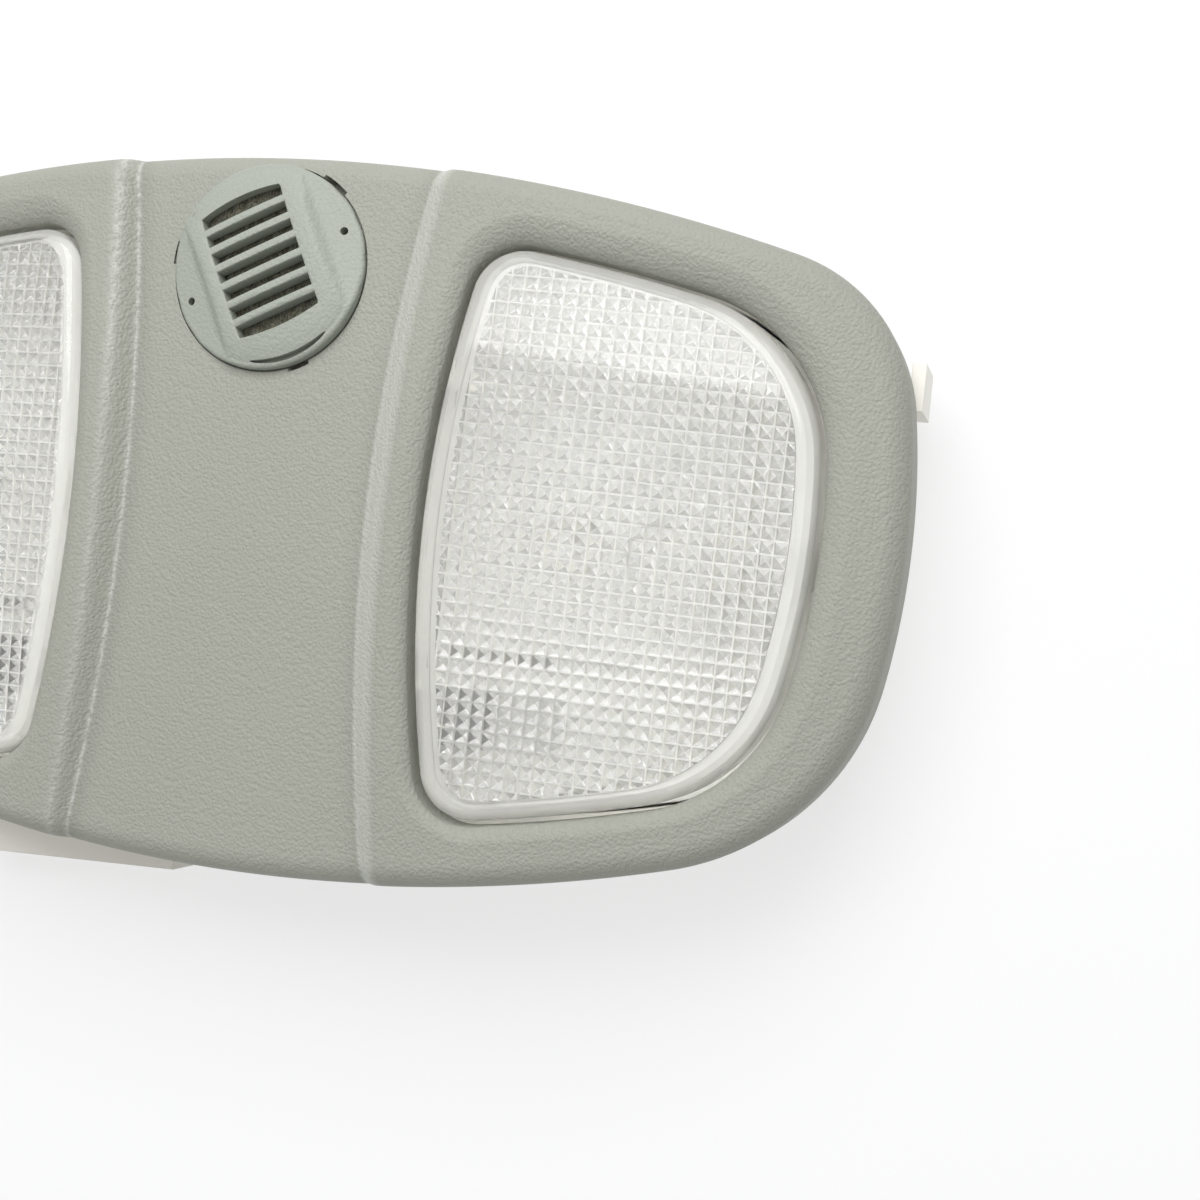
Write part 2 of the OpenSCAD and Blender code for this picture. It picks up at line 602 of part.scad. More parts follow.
module circuit_board() {
    color([0.20, 0.36, 0.24]) difference() {
        translate([-board_size[0] / 2, -board_size[1] / 2, board_z + 0.01]) cube([board_size[0], board_size[1], board_t - 0.01]);
        for (p = board_posts) translate([p[0], p[1], board_z - 1]) cylinder(r = post_r + 0.05, h = 4);
    }
}
shroud_w = 46;
shroud_h = 14;
shroud_l = 22;
shroud_wall = 2;
mouth_l = 11;
shroud_turn = 2.4;
shroud_x = lens_x + 9.5;
shroud_y = rear_y + 6.4;
pin_pitch = 4.2;
pin_t = 0.8;
pin_l = 8.48;
pin_reach = 6;
module at_shroud() {
    translate([-shroud_x, -shroud_y, 0]) rotate([0, 0, shroud_turn]) children();
}
module connector_shroud() {
    color(cream) difference() {
        at_shroud() difference() {
            translate([-shroud_w / 2, 0, 0]) cube([shroud_w, shroud_l, shroud_h]);
            translate([-shroud_w / 2 + shroud_wall, -1, shroud_wall])
                cube([shroud_w - 2 * shroud_wall, mouth_l + 1, shroud_h - 2 * shroud_wall]);
            for (i = [-4:4]) translate([i * pin_pitch - pin_t / 2 - 0.02, mouth_l - 1, shroud_h / 2 - pin_t / 2 - 0.02])
                cube([pin_t + 0.04, 3.5, pin_t + 0.04]);
        }
        on_side(-1) translate([0, 0, -1]) linear_extrude(face_h) polygon(flat(outline(lens_shape, can_out + 0.02)));
        translate([-bay_w / 2, -bay_y - rear_wall - 0.02, -1]) cube([bay_w, bay_y, face_h]);
    }
}
module connector_pins() {
    color(brass) at_shroud() for (i = [-4:4]) translate([i * pin_pitch - pin_t / 2, mouth_l - pin_reach, shroud_h / 2 - pin_t / 2])
        cube([pin_t, pin_l, pin_t]);
}

// CAP, FELT AND SENSOR
module cap_outline() {
    bow_r = 30;
    arch = slot_pitch * (slot_count - 1) / 2 + slot_w / 2 + 0.7;
    intersection() {
        square([slot_l, 2 * arch], center = true);
        translate([0, arch - bow_r]) circle(bow_r);
        translate([0, bow_r - arch]) circle(bow_r);
    }
}
cap_base = 1.2;
slots_x = -0.35;
slots_y = 0.7;
flat_z = 1.9;
felt_r = spigot_r - 1.52;
boot_t = 4.6;
capsule_r = 4.9;
felt_top = 0.7;
felt_t = 1.6;
module grille_cap() {
    color(cap_grey) at_seat() difference() {
        union() {
            rotate_extrude() polygon([[0, -0.7], [cap_r - 0.4, -0.7], [cap_r, -0.3], [cap_r, cap_base - 0.2], [cap_r - 0.5, cap_base + 0.4],
                [cap_r - 2, cap_base + 1.1], [cap_r - 6, cap_h - 0.5], [cap_r - 11, cap_h - 0.1], [0, cap_h]]);
            translate([0, 0, -spigot_l]) cylinder(r = spigot_r, h = spigot_l);
            for (a = notch_turns) rotate([0, 0, a - 22]) translate([spigot_r - 0.6, -1.5, -wall - 1 - lug_t]) cube([1.9, 3, lug_t]);
        }
        translate([0, 0, -spigot_l - 1]) cylinder(r = spigot_r - 1.5, h = spigot_l + 1 + felt_top);
        for (s = [1, -1]) scale([s, 1, 1]) translate([0, 30, 0]) rotate([90, 0, 0]) linear_extrude(60)
            polygon([[cap_band_w / 2, cap_h + 1], [cap_band_w / 2, cap_h - 0.3], [cap_band_w / 2 + 1.9, flat_z], [cap_r + 2, flat_z - 0.5], [cap_r + 2, cap_h + 1]]);
        translate([slots_x, slots_y, 0]) for (i = [0:slot_count - 1]) intersection() {
            translate([0, 0, -1]) linear_extrude(8) cap_outline();
            translate([-slot_l, (i - (slot_count - 1) / 2) * slot_pitch - (i == 0 ? slot_pitch : slot_w / 2), -1])
                cube([2 * slot_l, i == 0 || i == slot_count - 1 ? slot_w / 2 + slot_pitch : slot_w, 8]);
        }
        for (s = [0, 180]) rotate([0, 0, s]) translate([15.2, 0, -2]) cylinder(r = 0.65, h = 8);
    }
}
module felt_disc() {
    color([0.36, 0.33, 0.30]) at_seat() translate([0, 0, felt_top - felt_t]) cylinder(r = felt_r, h = felt_t - 0.02);
}
module sensor_boot() {
    color(black) at_seat() translate([0, 0, felt_top - felt_t - 0.02 - boot_t]) difference() {
        cylinder(r = felt_r, h = boot_t);
        translate([0, 0, 0.8]) cylinder(r = capsule_r, h = boot_t);
        translate([0, 0, -1]) cylinder(r = capsule_r - 1.5, h = boot_t);
    }
}
module sensor_capsule() {
    color(steel) at_seat() translate([0, 0, felt_top - felt_t - 0.02 - boot_t + 0.82]) cylinder(r = capsule_r - 0.02, h = boot_t - 0.84);
}

// FASTENINGS
module housing_screws() {
    color(steel) for (p = screw_spots) translate([p[0], p[1], plate_z - 2.02]) {
        cylinder(r = 2.8, h = 2);
        cylinder(r = pilot_r - 0.02, h = screw_l);
    }
}
spring_x = 14;
spring_w = 7;
spring_t = 0.7;
spring_reach = 4.8;
module spring_clips() {
    color(steel) for (x = [-spring_x, spring_x]) translate([x - spring_w / 2, bay_y + rear_wall + 0.02, 0])
        rotate([90, 0, 90]) linear_extrude(spring_w) polygon([[0, bay_z + 0.5], [0, plate_z - 0.3], [spring_t, plate_z - 0.3],
            [spring_t, bay_z + 2.4], [spring_reach - 0.6, plate_z - 5], [spring_reach, plate_z - 5.4], [0.9, bay_z + 0.5]]);
}

bezel();
lens_right();
lens_left();
rear_housing();
reflector_right();
reflector_left();
bulb_socket_right();
bulb_socket_left();
bulb_right();
bulb_left();
switch_right();
switch_left();
plunger_right();
plunger_left();
contact_strips_right();
contact_strips_left();
circuit_board();
connector_shroud();
connector_pins();
grille_cap();
felt_disc();
sensor_boot();
sensor_capsule();
housing_screws();
spring_clips();
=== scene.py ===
"""Looks of an overhead car dome light: grained bezel, prismatic push lenses, slotted grille cap."""

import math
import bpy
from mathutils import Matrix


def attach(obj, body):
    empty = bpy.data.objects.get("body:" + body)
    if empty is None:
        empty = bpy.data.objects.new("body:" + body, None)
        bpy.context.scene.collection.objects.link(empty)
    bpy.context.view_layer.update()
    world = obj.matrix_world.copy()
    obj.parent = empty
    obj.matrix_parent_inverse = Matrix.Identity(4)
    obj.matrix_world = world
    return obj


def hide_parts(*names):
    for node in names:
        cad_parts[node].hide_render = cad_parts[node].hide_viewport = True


bl_info = {
    "name": "Car Dome Light",
    "version": (1, 0, 0),
    "blender": (4, 5, 0),
    "location": "View3D > Sidebar > Dome Light",
    "description": "Builds the visible surfaces and finishes of an overhead dome and map light",
    "category": "Object",
}

import bmesh
import bpy
import numpy as np
from bpy.props import FloatProperty, FloatVectorProperty, IntProperty, PointerProperty
from mathutils import Matrix, Vector
from mathutils.geometry import delaunay_2d_cdt

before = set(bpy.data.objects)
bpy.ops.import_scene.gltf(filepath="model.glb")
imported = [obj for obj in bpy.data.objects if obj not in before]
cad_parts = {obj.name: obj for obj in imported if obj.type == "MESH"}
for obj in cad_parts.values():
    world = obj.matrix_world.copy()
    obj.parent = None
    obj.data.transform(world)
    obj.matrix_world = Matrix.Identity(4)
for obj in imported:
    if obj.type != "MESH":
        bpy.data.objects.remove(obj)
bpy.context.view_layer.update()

MM = 0.001
TURN = 2 * math.pi
LAMP = "lamp"
SIDES = {"right": 1, "left": -1}


class BezelSizes(bpy.types.PropertyGroup):
    """Sizes of the bezel in millimetres"""

    width: FloatProperty(name="Width", description="Length of the bezel", default=224.8)
    front: FloatProperty(name="Front", description="Place of the front edge", default=62.3)
    rear: FloatProperty(name="Rear", description="Place of the rear edge", default=62.6)
    front_r: FloatProperty(name="Front radius", description="Radius of the front edge", default=345)
    rear_r: FloatProperty(name="Rear radius", description="Radius of the rear edge", default=305)
    side_r: FloatProperty(name="End radius", description="Radius of the two ends", default=140)
    side_y: FloatProperty(name="End bulge", description="How far the ends bulge forward", default=6)
    front_corner: FloatProperty(name="Front corner", description="Radius of the front corners", default=28)
    rear_corner: FloatProperty(name="Rear corner", description="Radius of the rear corners", default=42)
    face: FloatProperty(name="Face height", description="Height of the crown", default=44.6)
    crown_x: FloatProperty(name="Crown along", description="Radius of the crown along the lamp", default=550)
    crown_y: FloatProperty(name="Crown across", description="Radius of the crown across it", default=700)
    edge_r: FloatProperty(name="Edge radius", description="Radius of the outer edge", default=4.0)
    skirt: FloatProperty(name="Skirt", description="Depth of the skirt", default=12)
    wall: FloatProperty(name="Wall", description="Wall of the moulding", default=2.2)
    panel_w: FloatProperty(name="Panel width", description="Width of the sunk panel", default=46.2)
    panel_bow: FloatProperty(name="Panel bow", description="Radius of the panel's sides", default=330)
    step_w: FloatProperty(name="Step width", description="Width of the step", default=3.8)
    step_bow: FloatProperty(name="Step bow", description="Radius of the step's outer line", default=450)
    sunk_mid: FloatProperty(name="Sunk middle", description="Depth of the panel's middle", default=4.0)
    sunk_end: FloatProperty(name="Sunk ends", description="Depth of the panel's ends", default=2.6)


class LensSizes(bpy.types.PropertyGroup):
    """Sizes of a lens in millimetres"""

    inner_x: FloatProperty(name="Inner edge", description="Place of a lens's inner edge", default=33.5)
    front_margin: FloatProperty(name="Front margin", description="From lens to front edge", default=11.6)
    rear_margin: FloatProperty(name="Rear margin", description="From lens to rear edge", default=11)
    side_margin: FloatProperty(name="End margin", description="From lens to end", default=14.4)
    inner_r: FloatProperty(name="Inner radius", description="Bow of the inner edge", default=215)
    outer_corner: FloatProperty(name="Outer corner", description="Radius of the outer corners", default=28)
    inner_corner: FloatProperty(name="Inner corner", description="Radius of the inner corners", default=8.5)
    gap: FloatProperty(name="Gap", description="Gap between lens and bezel", default=0.9)
    sunk: FloatProperty(name="Sunk", description="How far a lens lies below the crown", default=1.2)
    wall: FloatProperty(name="Wall", description="Thickness over the pyramids", default=2.2)
    depth: FloatProperty(name="Depth", description="Depth of a lens with its skirt", default=8.5)
    rim_r: FloatProperty(name="Rim radius", description="Radius of the rounded rim", default=2.4)
    roll_wide: FloatProperty(name="Roll wide", description="Widest rolled edge", default=5)
    roll_thin: FloatProperty(name="Roll thin", description="Narrowest rolled edge", default=2.2)
    pitch: FloatProperty(name="Pyramid pitch", description="Distance from pyramid to pyramid", default=2.3)
    peak: FloatProperty(name="Pyramid height", description="Height of a pyramid", default=1.1)
    valley: FloatProperty(name="Valley", description="Half width of the flat strips between", default=0.13)
    lattice_turn: FloatProperty(name="Grid turn", description="Turn of the grid in degrees", default=-1.0)


class CapSizes(bpy.types.PropertyGroup):
    """Sizes of the grille cap in millimetres"""

    radius: FloatProperty(name="Radius", description="Radius of the cap", default=17.9)
    place: FloatProperty(name="Place", description="Distance ahead of the centre", default=42)
    turn: FloatProperty(name="Turn", description="Turn of the slots in degrees", default=26.5)
    height: FloatProperty(name="Height", description="Height of the middle band", default=3.6)
    band: FloatProperty(name="Band", description="Width of the middle band", default=21)
    slot_l: FloatProperty(name="Slot length", description="Length of the slots", default=15.45)
    slot_w: FloatProperty(name="Slot width", description="Width of a slot", default=2.0)
    pitch: FloatProperty(name="Slot pitch", description="Distance from slot to slot", default=3.42)
    slots: IntProperty(name="Slots", description="Number of slots", default=7)


class Colours(bpy.types.PropertyGroup):
    """Colours of the finishes"""

    bezel: FloatVectorProperty(name="Bezel", description="Grained moulding", subtype="COLOR",
                               size=3, default=(0.318, 0.323, 0.279))
    cap: FloatVectorProperty(name="Cap", description="Grille cap", subtype="COLOR",
                             size=3, default=(0.32, 0.345, 0.302))
    cream: FloatVectorProperty(name="Cream", description="Rear housing", subtype="COLOR",
                               size=3, default=(0.88, 0.86, 0.79))
    felt: FloatVectorProperty(name="Felt", description="Felt under the cap", subtype="COLOR",
                              size=3, default=(0.075, 0.073, 0.05))
    floor: FloatVectorProperty(name="Floor", description="Floor under the light", subtype="COLOR",
                               size=3, default=(0.86, 0.87, 0.87))


def settings(name):
    """The property group of that name, with its present values."""
    return getattr(bpy.context.scene, name)


# Outlines of four big arcs with tangent corners

def direction(angle):
    """Unit vectors at angles in radians."""
    return np.stack([np.cos(angle), np.sin(angle)], -1)


def stretches(arcs, radii):
    """Rows of x, y, radius, first and last normal: four big arcs, each followed by the corner that touches
    it and the next. A corner's centre lies where both arcs, drawn in by the corner's radius, cross."""
    arcs = np.array(arcs, float)
    centres = []
    for i in range(4):
        a, b, r = arcs[i], arcs[(i + 1) % 4], radii[i]
        ra, rb, gap = a[2] - r, b[2] - r, b[:2] - a[:2]
        d = np.hypot(*gap)
        along = (ra * ra - rb * rb + d * d) / (2 * d)
        off = math.sqrt(ra * ra - along * along)
        e = gap / d
        centres.append(a[:2] + along * e + off * np.array([-e[1], e[0]]))
    rows, last = [], None
    for i in range(4):
        a, following = arcs[i], arcs[(i + 1) % 4]
        before, here = centres[i - 1] - a[:2], centres[i] - a[:2]
        beyond = centres[i] - following[:2]
        start = math.atan2(before[1], before[0]) if last is None else last
        stop = math.atan2(here[1], here[0])
        stop += TURN * math.ceil((start - stop) / TURN)
        after = math.atan2(beyond[1], beyond[0])
        after += TURN * math.ceil((stop - after) / TURN)
        rows += [[a[0], a[1], a[2], start, stop], [*centres[i], radii[i], stop, after]]
        last = after
    return np.array(rows)


def on_outline(shape, normals, offset=0.0):
    """Points with given outward normals on the curve that runs parallel to an outline at an offset."""
    turned = (normals - shape[0, 3]) % TURN + shape[0, 3]
    row = np.clip(np.searchsorted(shape[:, 3], turned, side="right") - 1, 0, len(shape) - 1)
    return shape[row, :2] + (shape[row, 2] + offset)[:, None] * direction(turned)


def even_normals(shape, first, last, count):
    """Normals at equal steps along an outline from one normal to another: length is radius times turn."""
    ends = np.append(shape[:, 3], shape[-1, 4])
    ends = np.concatenate([ends[:-1] - TURN, ends[:-1], ends + TURN])
    spans = np.tile(shape[:, 2], 3) * np.diff(ends)
    run = np.append(0, np.cumsum(spans))
    wanted = np.linspace(np.interp(first, ends, run), np.interp(last, ends, run), count)
    return np.interp(wanted, run, ends)


def inside(shape, x, y):
    """Distance from points near an outline in to it: the radius of the stretch that faces a point, less the
    point's distance from the stretch's centre."""
    gap = np.stack([x, y], -1)[..., None, :] - shape[:, :2]
    turned = (np.arctan2(gap[..., 1], gap[..., 0]) - shape[0, 3]) % TURN + shape[0, 3]
    facing = (turned >= shape[:, 3] - 1e-9) & (turned <= shape[:, 4] + 1e-9)
    depth = np.where(facing, shape[:, 2] - np.hypot(gap[..., 0], gap[..., 1]), np.inf)
    return depth.min(-1)


def bezel_outline():
    """The bezel's outline from its four arcs and corners."""
    b = settings("dome_bezel")
    end = b.width / 2
    arcs = [[end - b.side_r, b.side_y, b.side_r], [0, b.front - b.front_r, b.front_r],
            [b.side_r - end, b.side_y, b.side_r], [0, b.rear_r - b.rear, b.rear_r]]
    return stretches(arcs, [b.front_corner, b.front_corner, b.rear_corner, b.rear_corner])


def lens_outline(front=0.0, rear=0.0, outer=0.0, inner=0.0, shrink=0.0):
    """The right lens's outline, or one drawn in from it by margins, with corners that shrink too."""
    b, s = settings("dome_bezel"), settings("dome_lens")
    arcs = [[b.width / 2 - b.side_r, b.side_y, b.side_r - s.side_margin - outer],
            [0, b.front - b.front_r, b.front_r - s.front_margin - front],
            [s.inner_x + s.inner_r, -1, s.inner_r - inner],
            [0, b.rear_r - b.rear, b.rear_r - s.rear_margin - rear]]
    return stretches(arcs, [s.outer_corner - shrink, s.inner_corner - shrink,
                            s.inner_corner - shrink, s.outer_corner - shrink])


# Heights

def crown(x, y):
    """Height of the crowned face: two parabolas taken from the top."""
    b = settings("dome_bezel")
    return b.face - x * x / (2 * b.crown_x) - y * y / (2 * b.crown_y)


def step_lines(y):
    """Distance from the centre line of the foot and the top of the step: both bow out as y squared."""
    b = settings("dome_bezel")
    foot = b.panel_w / 2 + y * y / (2 * b.panel_bow)
    top = b.panel_w / 2 + b.step_w + y * y / (2 * b.step_bow)
    return foot, top


def foot_line(y):
    """Place of the right step's foot."""
    return step_lines(y)[0]


def top_line(y):
    """Place of the right step's top."""
    return step_lines(y)[1]


def left_foot_line(y):
    """Place of the left step's foot."""
    return -foot_line(y)


FOOT_ROUND = 0.12
TOP_ROUND = 0.34


def ramp(t):
    """A slope from 0 to 1 with rounded ends: the difference of two smoothed halves of the absolute value."""
    low = (t + np.sqrt(t * t + FOOT_ROUND ** 2)) / 2
    high = (t - 1 + np.sqrt((t - 1) ** 2 + TOP_ROUND ** 2)) / 2
    return np.clip(low - high, 0, 1)


def sunk(x, y):
    """Depth of the panel under the crown, which fades over the step."""
    b = settings("dome_bezel")
    foot, top = step_lines(y)
    depth = b.sunk_mid + (b.sunk_end - b.sunk_mid) * y * y / (b.front * b.rear)
    return depth * (1 - ramp((np.abs(x) - foot) / (top - foot)))


def edge_drop(distance):
    """How far the face has rolled down at a distance in from the outline: a quarter circle."""
    r = settings("dome_bezel").edge_r
    left = np.clip(r - distance, 0, r)
    return r - np.sqrt(np.maximum(r * r - left * left, 0))


def face(x, y, shape):
    """Height of the bezel's face: crown, less the sunk panel, less the rolled edge."""
    return crown(x, y) - sunk(x, y) - edge_drop(inside(shape, x, y))


# Meshes

def grid_faces(rows, columns, wrap=False, first=0):
    """Quads of a grid stored row by row, which may close on itself along its rows."""
    r = np.arange(rows - 1)[:, None]
    c = np.arange(columns if wrap else columns - 1)[None, :]
    n = (c + 1) % columns
    quads = np.stack([r * columns + c, r * columns + n, (r + 1) * columns + n, (r + 1) * columns + c], -1)
    return quads.reshape(-1, 4) + first


class Patchwork:
    """Grids of points in millimetres that are joined into one mesh where their edges meet."""

    def __init__(self):
        self.points, self.quads, self.tris, self.total = [], [], [], 0

    def grid(self, grid, wrap=False, flip=False):
        """Adds a grid of points, with rows along the first axis."""
        faces = grid_faces(grid.shape[0], grid.shape[1], wrap, self.total)
        self.quads.append(faces[:, ::-1] if flip else faces)
        self.points.append(grid.reshape(-1, 3))
        self.total += grid.shape[0] * grid.shape[1]

    def mirrored(self, grid, wrap=False):
        """Adds a grid and its mirror image."""
        self.grid(grid, wrap)
        self.grid(grid * [-1, 1, 1], wrap, flip=True)

    def placed(self, grid, place, wrap=False):
        """Adds a grid that is given in a piece's own frame."""
        self.grid(in_place(grid.reshape(-1, 3), place).reshape(grid.shape), wrap)

    def faces(self, points, quads):
        """Adds loose points with their quads."""
        self.quads.append(quads + self.total)
        self.points.append(points)
        self.total += len(points)

    def triangles(self, points, tris):
        """Adds loose points with their triangles."""
        self.tris.append(np.asarray(tris).reshape(-1, 3) + self.total)
        self.points.append(points)
        self.total += len(points)

    def build(self, name, merge=0.002, mirror=False):
        """The finished object: metres, doubles merged, smooth, with closed shells turned outwards."""
        points = np.concatenate(self.points) * MM
        if mirror:
            points = points * [-1, 1, 1]
        faces = [f.tolist() for part in (self.quads + self.tris) for f in part]
        mesh = bpy.data.meshes.new(name)
        mesh.from_pydata(points.tolist(), [], faces)
        obj = bpy.data.objects.new(name, mesh)
        bpy.context.scene.collection.objects.link(obj)
        work = bmesh.new()
        work.from_mesh(mesh)
        bmesh.ops.remove_doubles(work, verts=work.verts, dist=merge * MM)
        bmesh.ops.dissolve_degenerate(work, edges=work.edges, dist=merge * MM / 4)
        bmesh.ops.recalc_face_normals(work, faces=work.faces)
        work.to_mesh(mesh)
        work.free()
        mesh.shade_smooth()
        return obj


def rounded_loop(low, high, radius, steps=4):
    """Points of a rectangle with rounded corners, anticlockwise."""
    low, high = np.array(low, float), np.array(high, float)
    centres = [(high[0] - radius, high[1] - radius), (low[0] + radius, high[1] - radius),
               (low[0] + radius, low[1] + radius), (high[0] - radius, low[1] + radius)]
    turns = np.radians(np.linspace(0, 90, steps))
    corners = [np.array(c) + radius * direction(turns + i * math.pi / 2) for i, c in enumerate(centres)]
    return np.concatenate(corners)


def block(work, low, high, radius=0.3):
    """Adds a box with rounded edges: a rounded rectangle that draws in at both ends."""
    low, high = np.array(low, float), np.array(high, float)
    middle = (low + high) / 2
    rows = []
    for z, way in ((low[2], 1), (high[2], -1)):
        end = [(1e-3, z)]
        for t in np.radians([0, 30, 60, 90]):
            inset = radius * (1 - math.sin(t))
            end.append((inset, z + way * radius * (1 - math.cos(t))))
        loops = []
        for k, (inset, height) in enumerate(end):
            if k == 0:
                flat = np.tile(middle[:2], (16, 1))
            else:
                flat = rounded_loop(low[:2] + inset, high[:2] - inset, radius * 1.02)
            loops.append(point_grid(flat, np.full(16, height)))
        rows += loops if way > 0 else loops[::-1]
    work.grid(np.array(rows), wrap=True)


def turned(work, profile, place, count=32, close=False):
    """Adds a solid of revolution: rings of the profile's radii at its heights."""
    ring = direction(np.linspace(0, TURN, count + 1)[:-1])
    rows = [np.concatenate([r * ring, np.full((count, 1), z)], 1) for r, z in profile]
    rows = np.array(rows + rows[:1] if close else rows)
    work.placed(rows, place, wrap=True)


def sharpen(obj, degrees):
    """Marks the edges that turn by more than an angle as sharp."""
    obj.data.set_sharp_from_angle(angle=math.radians(degrees))


def solidify(obj, thickness):
    """Gives an open shell its wall, on the inner side."""
    wall = obj.modifiers.new("wall", "SOLIDIFY")
    wall.thickness = thickness * MM
    wall.offset = -1


def finish_piece(obj, material, body, slot, *nodes):
    """Gives a piece its material and its body, and hides the nodes it stands for; the slot is not used."""
    obj.data.materials.clear()
    obj.data.materials.append(material)
    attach(obj, body)
    if nodes:
        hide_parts(*nodes)


# Bezel

FACE_IN = 1.2
RIM_STEPS = 150
LINE_STEPS = 121
SPLIT_ROW = 82
STEP_SHARES = (1 - np.cos(np.linspace(0, math.pi, 13))) / 2
PANEL_COLUMNS = 37


def crossing(shape, line, half):
    """Normal at which the face's edge crosses a line on the right, in front (1) or at the rear (-1)."""
    normals = np.linspace(0.3, math.pi / 2, 6001) * half
    p = on_outline(shape, normals, -FACE_IN)
    over = p[:, 0] - line(p[:, 1])
    order = np.argsort(over)
    return float(np.interp(0, over[order], normals[order]))


def frosted(obj, amount):
    """Stores how frosted each corner of a clear piece is, from a function of its points in millimetres."""
    flat = np.zeros(len(obj.data.vertices) * 3)
    obj.data.vertices.foreach_get("co", flat)
    points = flat.reshape(-1, 3) / MM
    layer = obj.data.attributes.new("frost", "FLOAT", "POINT")
    layer.data.foreach_set("value", amount(points))
    return obj


def facing_normals(shape, centre, points, offset):
    """Normals of the outline's points that lie on the rays from a centre through other points.
    The offset of the outline is a function of the normal."""
    normals = np.linspace(shape[0, 3], shape[0, 3] + TURN, 12001)
    p = on_outline(shape, normals[:-1], offset(normals[:-1])) - centre
    bearing = np.unwrap(np.arctan2(p[:, 1], p[:, 0]))
    bearing = np.append(bearing, bearing[0] + TURN)
    wanted = np.arctan2(points[:, 1] - centre[1], points[:, 0] - centre[0])
    wanted = (wanted - bearing[0]) % TURN + bearing[0]
    return np.interp(wanted, bearing, normals)


LENS_MIDDLE_IN = 31
WIDEST_ROLL = math.radians(50)


def lens_middle():
    """The point that a lens's rings run round."""
    return np.array([settings("dome_lens").inner_x + LENS_MIDDLE_IN, 0.0])


def roll_width(normals):
    """Width of the rolled edge round a lens opening, widest at its front outer corner."""
    s = settings("dome_lens")
    return s.roll_thin + (s.roll_wide - s.roll_thin) * (1 + np.cos(normals - WIDEST_ROLL)) / 2


def point_grid(flat, heights):
    """Joins rows of flat points with their heights."""
    return np.concatenate([flat, heights[..., None]], -1)


ROLL_DEPTH = 0.7
ROLL_LEAN = 0.3
WELL_DEPTHS = (7.0, 5.5, 4.2)


def flank_grid(shape, lens):
    """The face between a lens opening and the edge: rings that run from the opening's wall, over its rolled
    edge, out along rays from the lens's middle to the face's edge and the top of the step."""
    s = settings("dome_lens")
    ends = [crossing(shape, top_line, half) for half in (-1, 1)]
    rim = on_outline(shape, even_normals(shape, *ends, RIM_STEPS), -FACE_IN)
    ys = np.linspace(rim[-1, 1], rim[0, 1], LINE_STEPS)[1:-1]
    outer = np.concatenate([rim, np.stack([top_line(ys), ys], -1)])
    middle = lens_middle()
    normals = facing_normals(lens, middle, outer, lambda a: s.gap + roll_width(a))
    roll = roll_width(normals)
    rows = []
    low = on_outline(lens, normals, s.gap)
    for depth in WELL_DEPTHS:
        rows.append(point_grid(low, crown(*low.T) - depth))
    for turn in np.radians(np.linspace(90, 0, 13)):
        p = on_outline(lens, normals, s.gap + roll * (1 - math.sin(turn)))
        lean = ROLL_DEPTH * (1 - math.cos(turn)) * (1 - ROLL_LEAN) + ROLL_LEAN * ROLL_DEPTH * math.sin(turn)
        rows.append(point_grid(p, face(*p.T, shape) - roll * lean))
    start = on_outline(lens, normals, s.gap + roll)
    for share in np.append(0.025, np.linspace(0, 1, 15)[1:]):
        p = start + (outer - start) * share
        rows.append(point_grid(p, face(*p.T, shape)))
    return np.array(rows), ends


def column(front, rear, line_low, line_high, rows=LINE_STEPS):
    """A column of the face between two points of its edge: its share between bowed lines changes evenly."""
    share = []
    for p in (rear, front):
        low, high = line_low(p[1]), line_high(p[1])
        share.append((p[0] - low) / (high - low))
    t = np.linspace(0, 1, rows)
    y = rear[1] + (front[1] - rear[1]) * t
    x = line_low(y) + (share[0] + (share[1] - share[0]) * t) * (line_high(y) - line_low(y))
    return np.stack([x, y], -1)


def step_grid(shape, edges, feet):
    """The sloping step: columns from its top line to its foot."""
    columns = []
    for share in STEP_SHARES:
        ends = [on_outline(shape, np.array([e + (f - e) * share]), -FACE_IN)[0] for e, f in zip(edges, feet)]
        columns.append(column(ends[1], ends[0], foot_line, top_line))
    flat = np.array(columns)
    return point_grid(flat, face(flat[..., 0], flat[..., 1], shape))


CAP_SINK = 1.0
CAP_HOLE = 16.3
CAP_HOLE_DEPTH = 3.6
SEAT_R = 18.15
NOTCH_R = 18.7
NOTCH_LIP = NOTCH_R + 0.05
NOTCH_W = 3.4
NOTCH_DROP = 3.0
NOTCH_TURNS = (28, 148, 268)


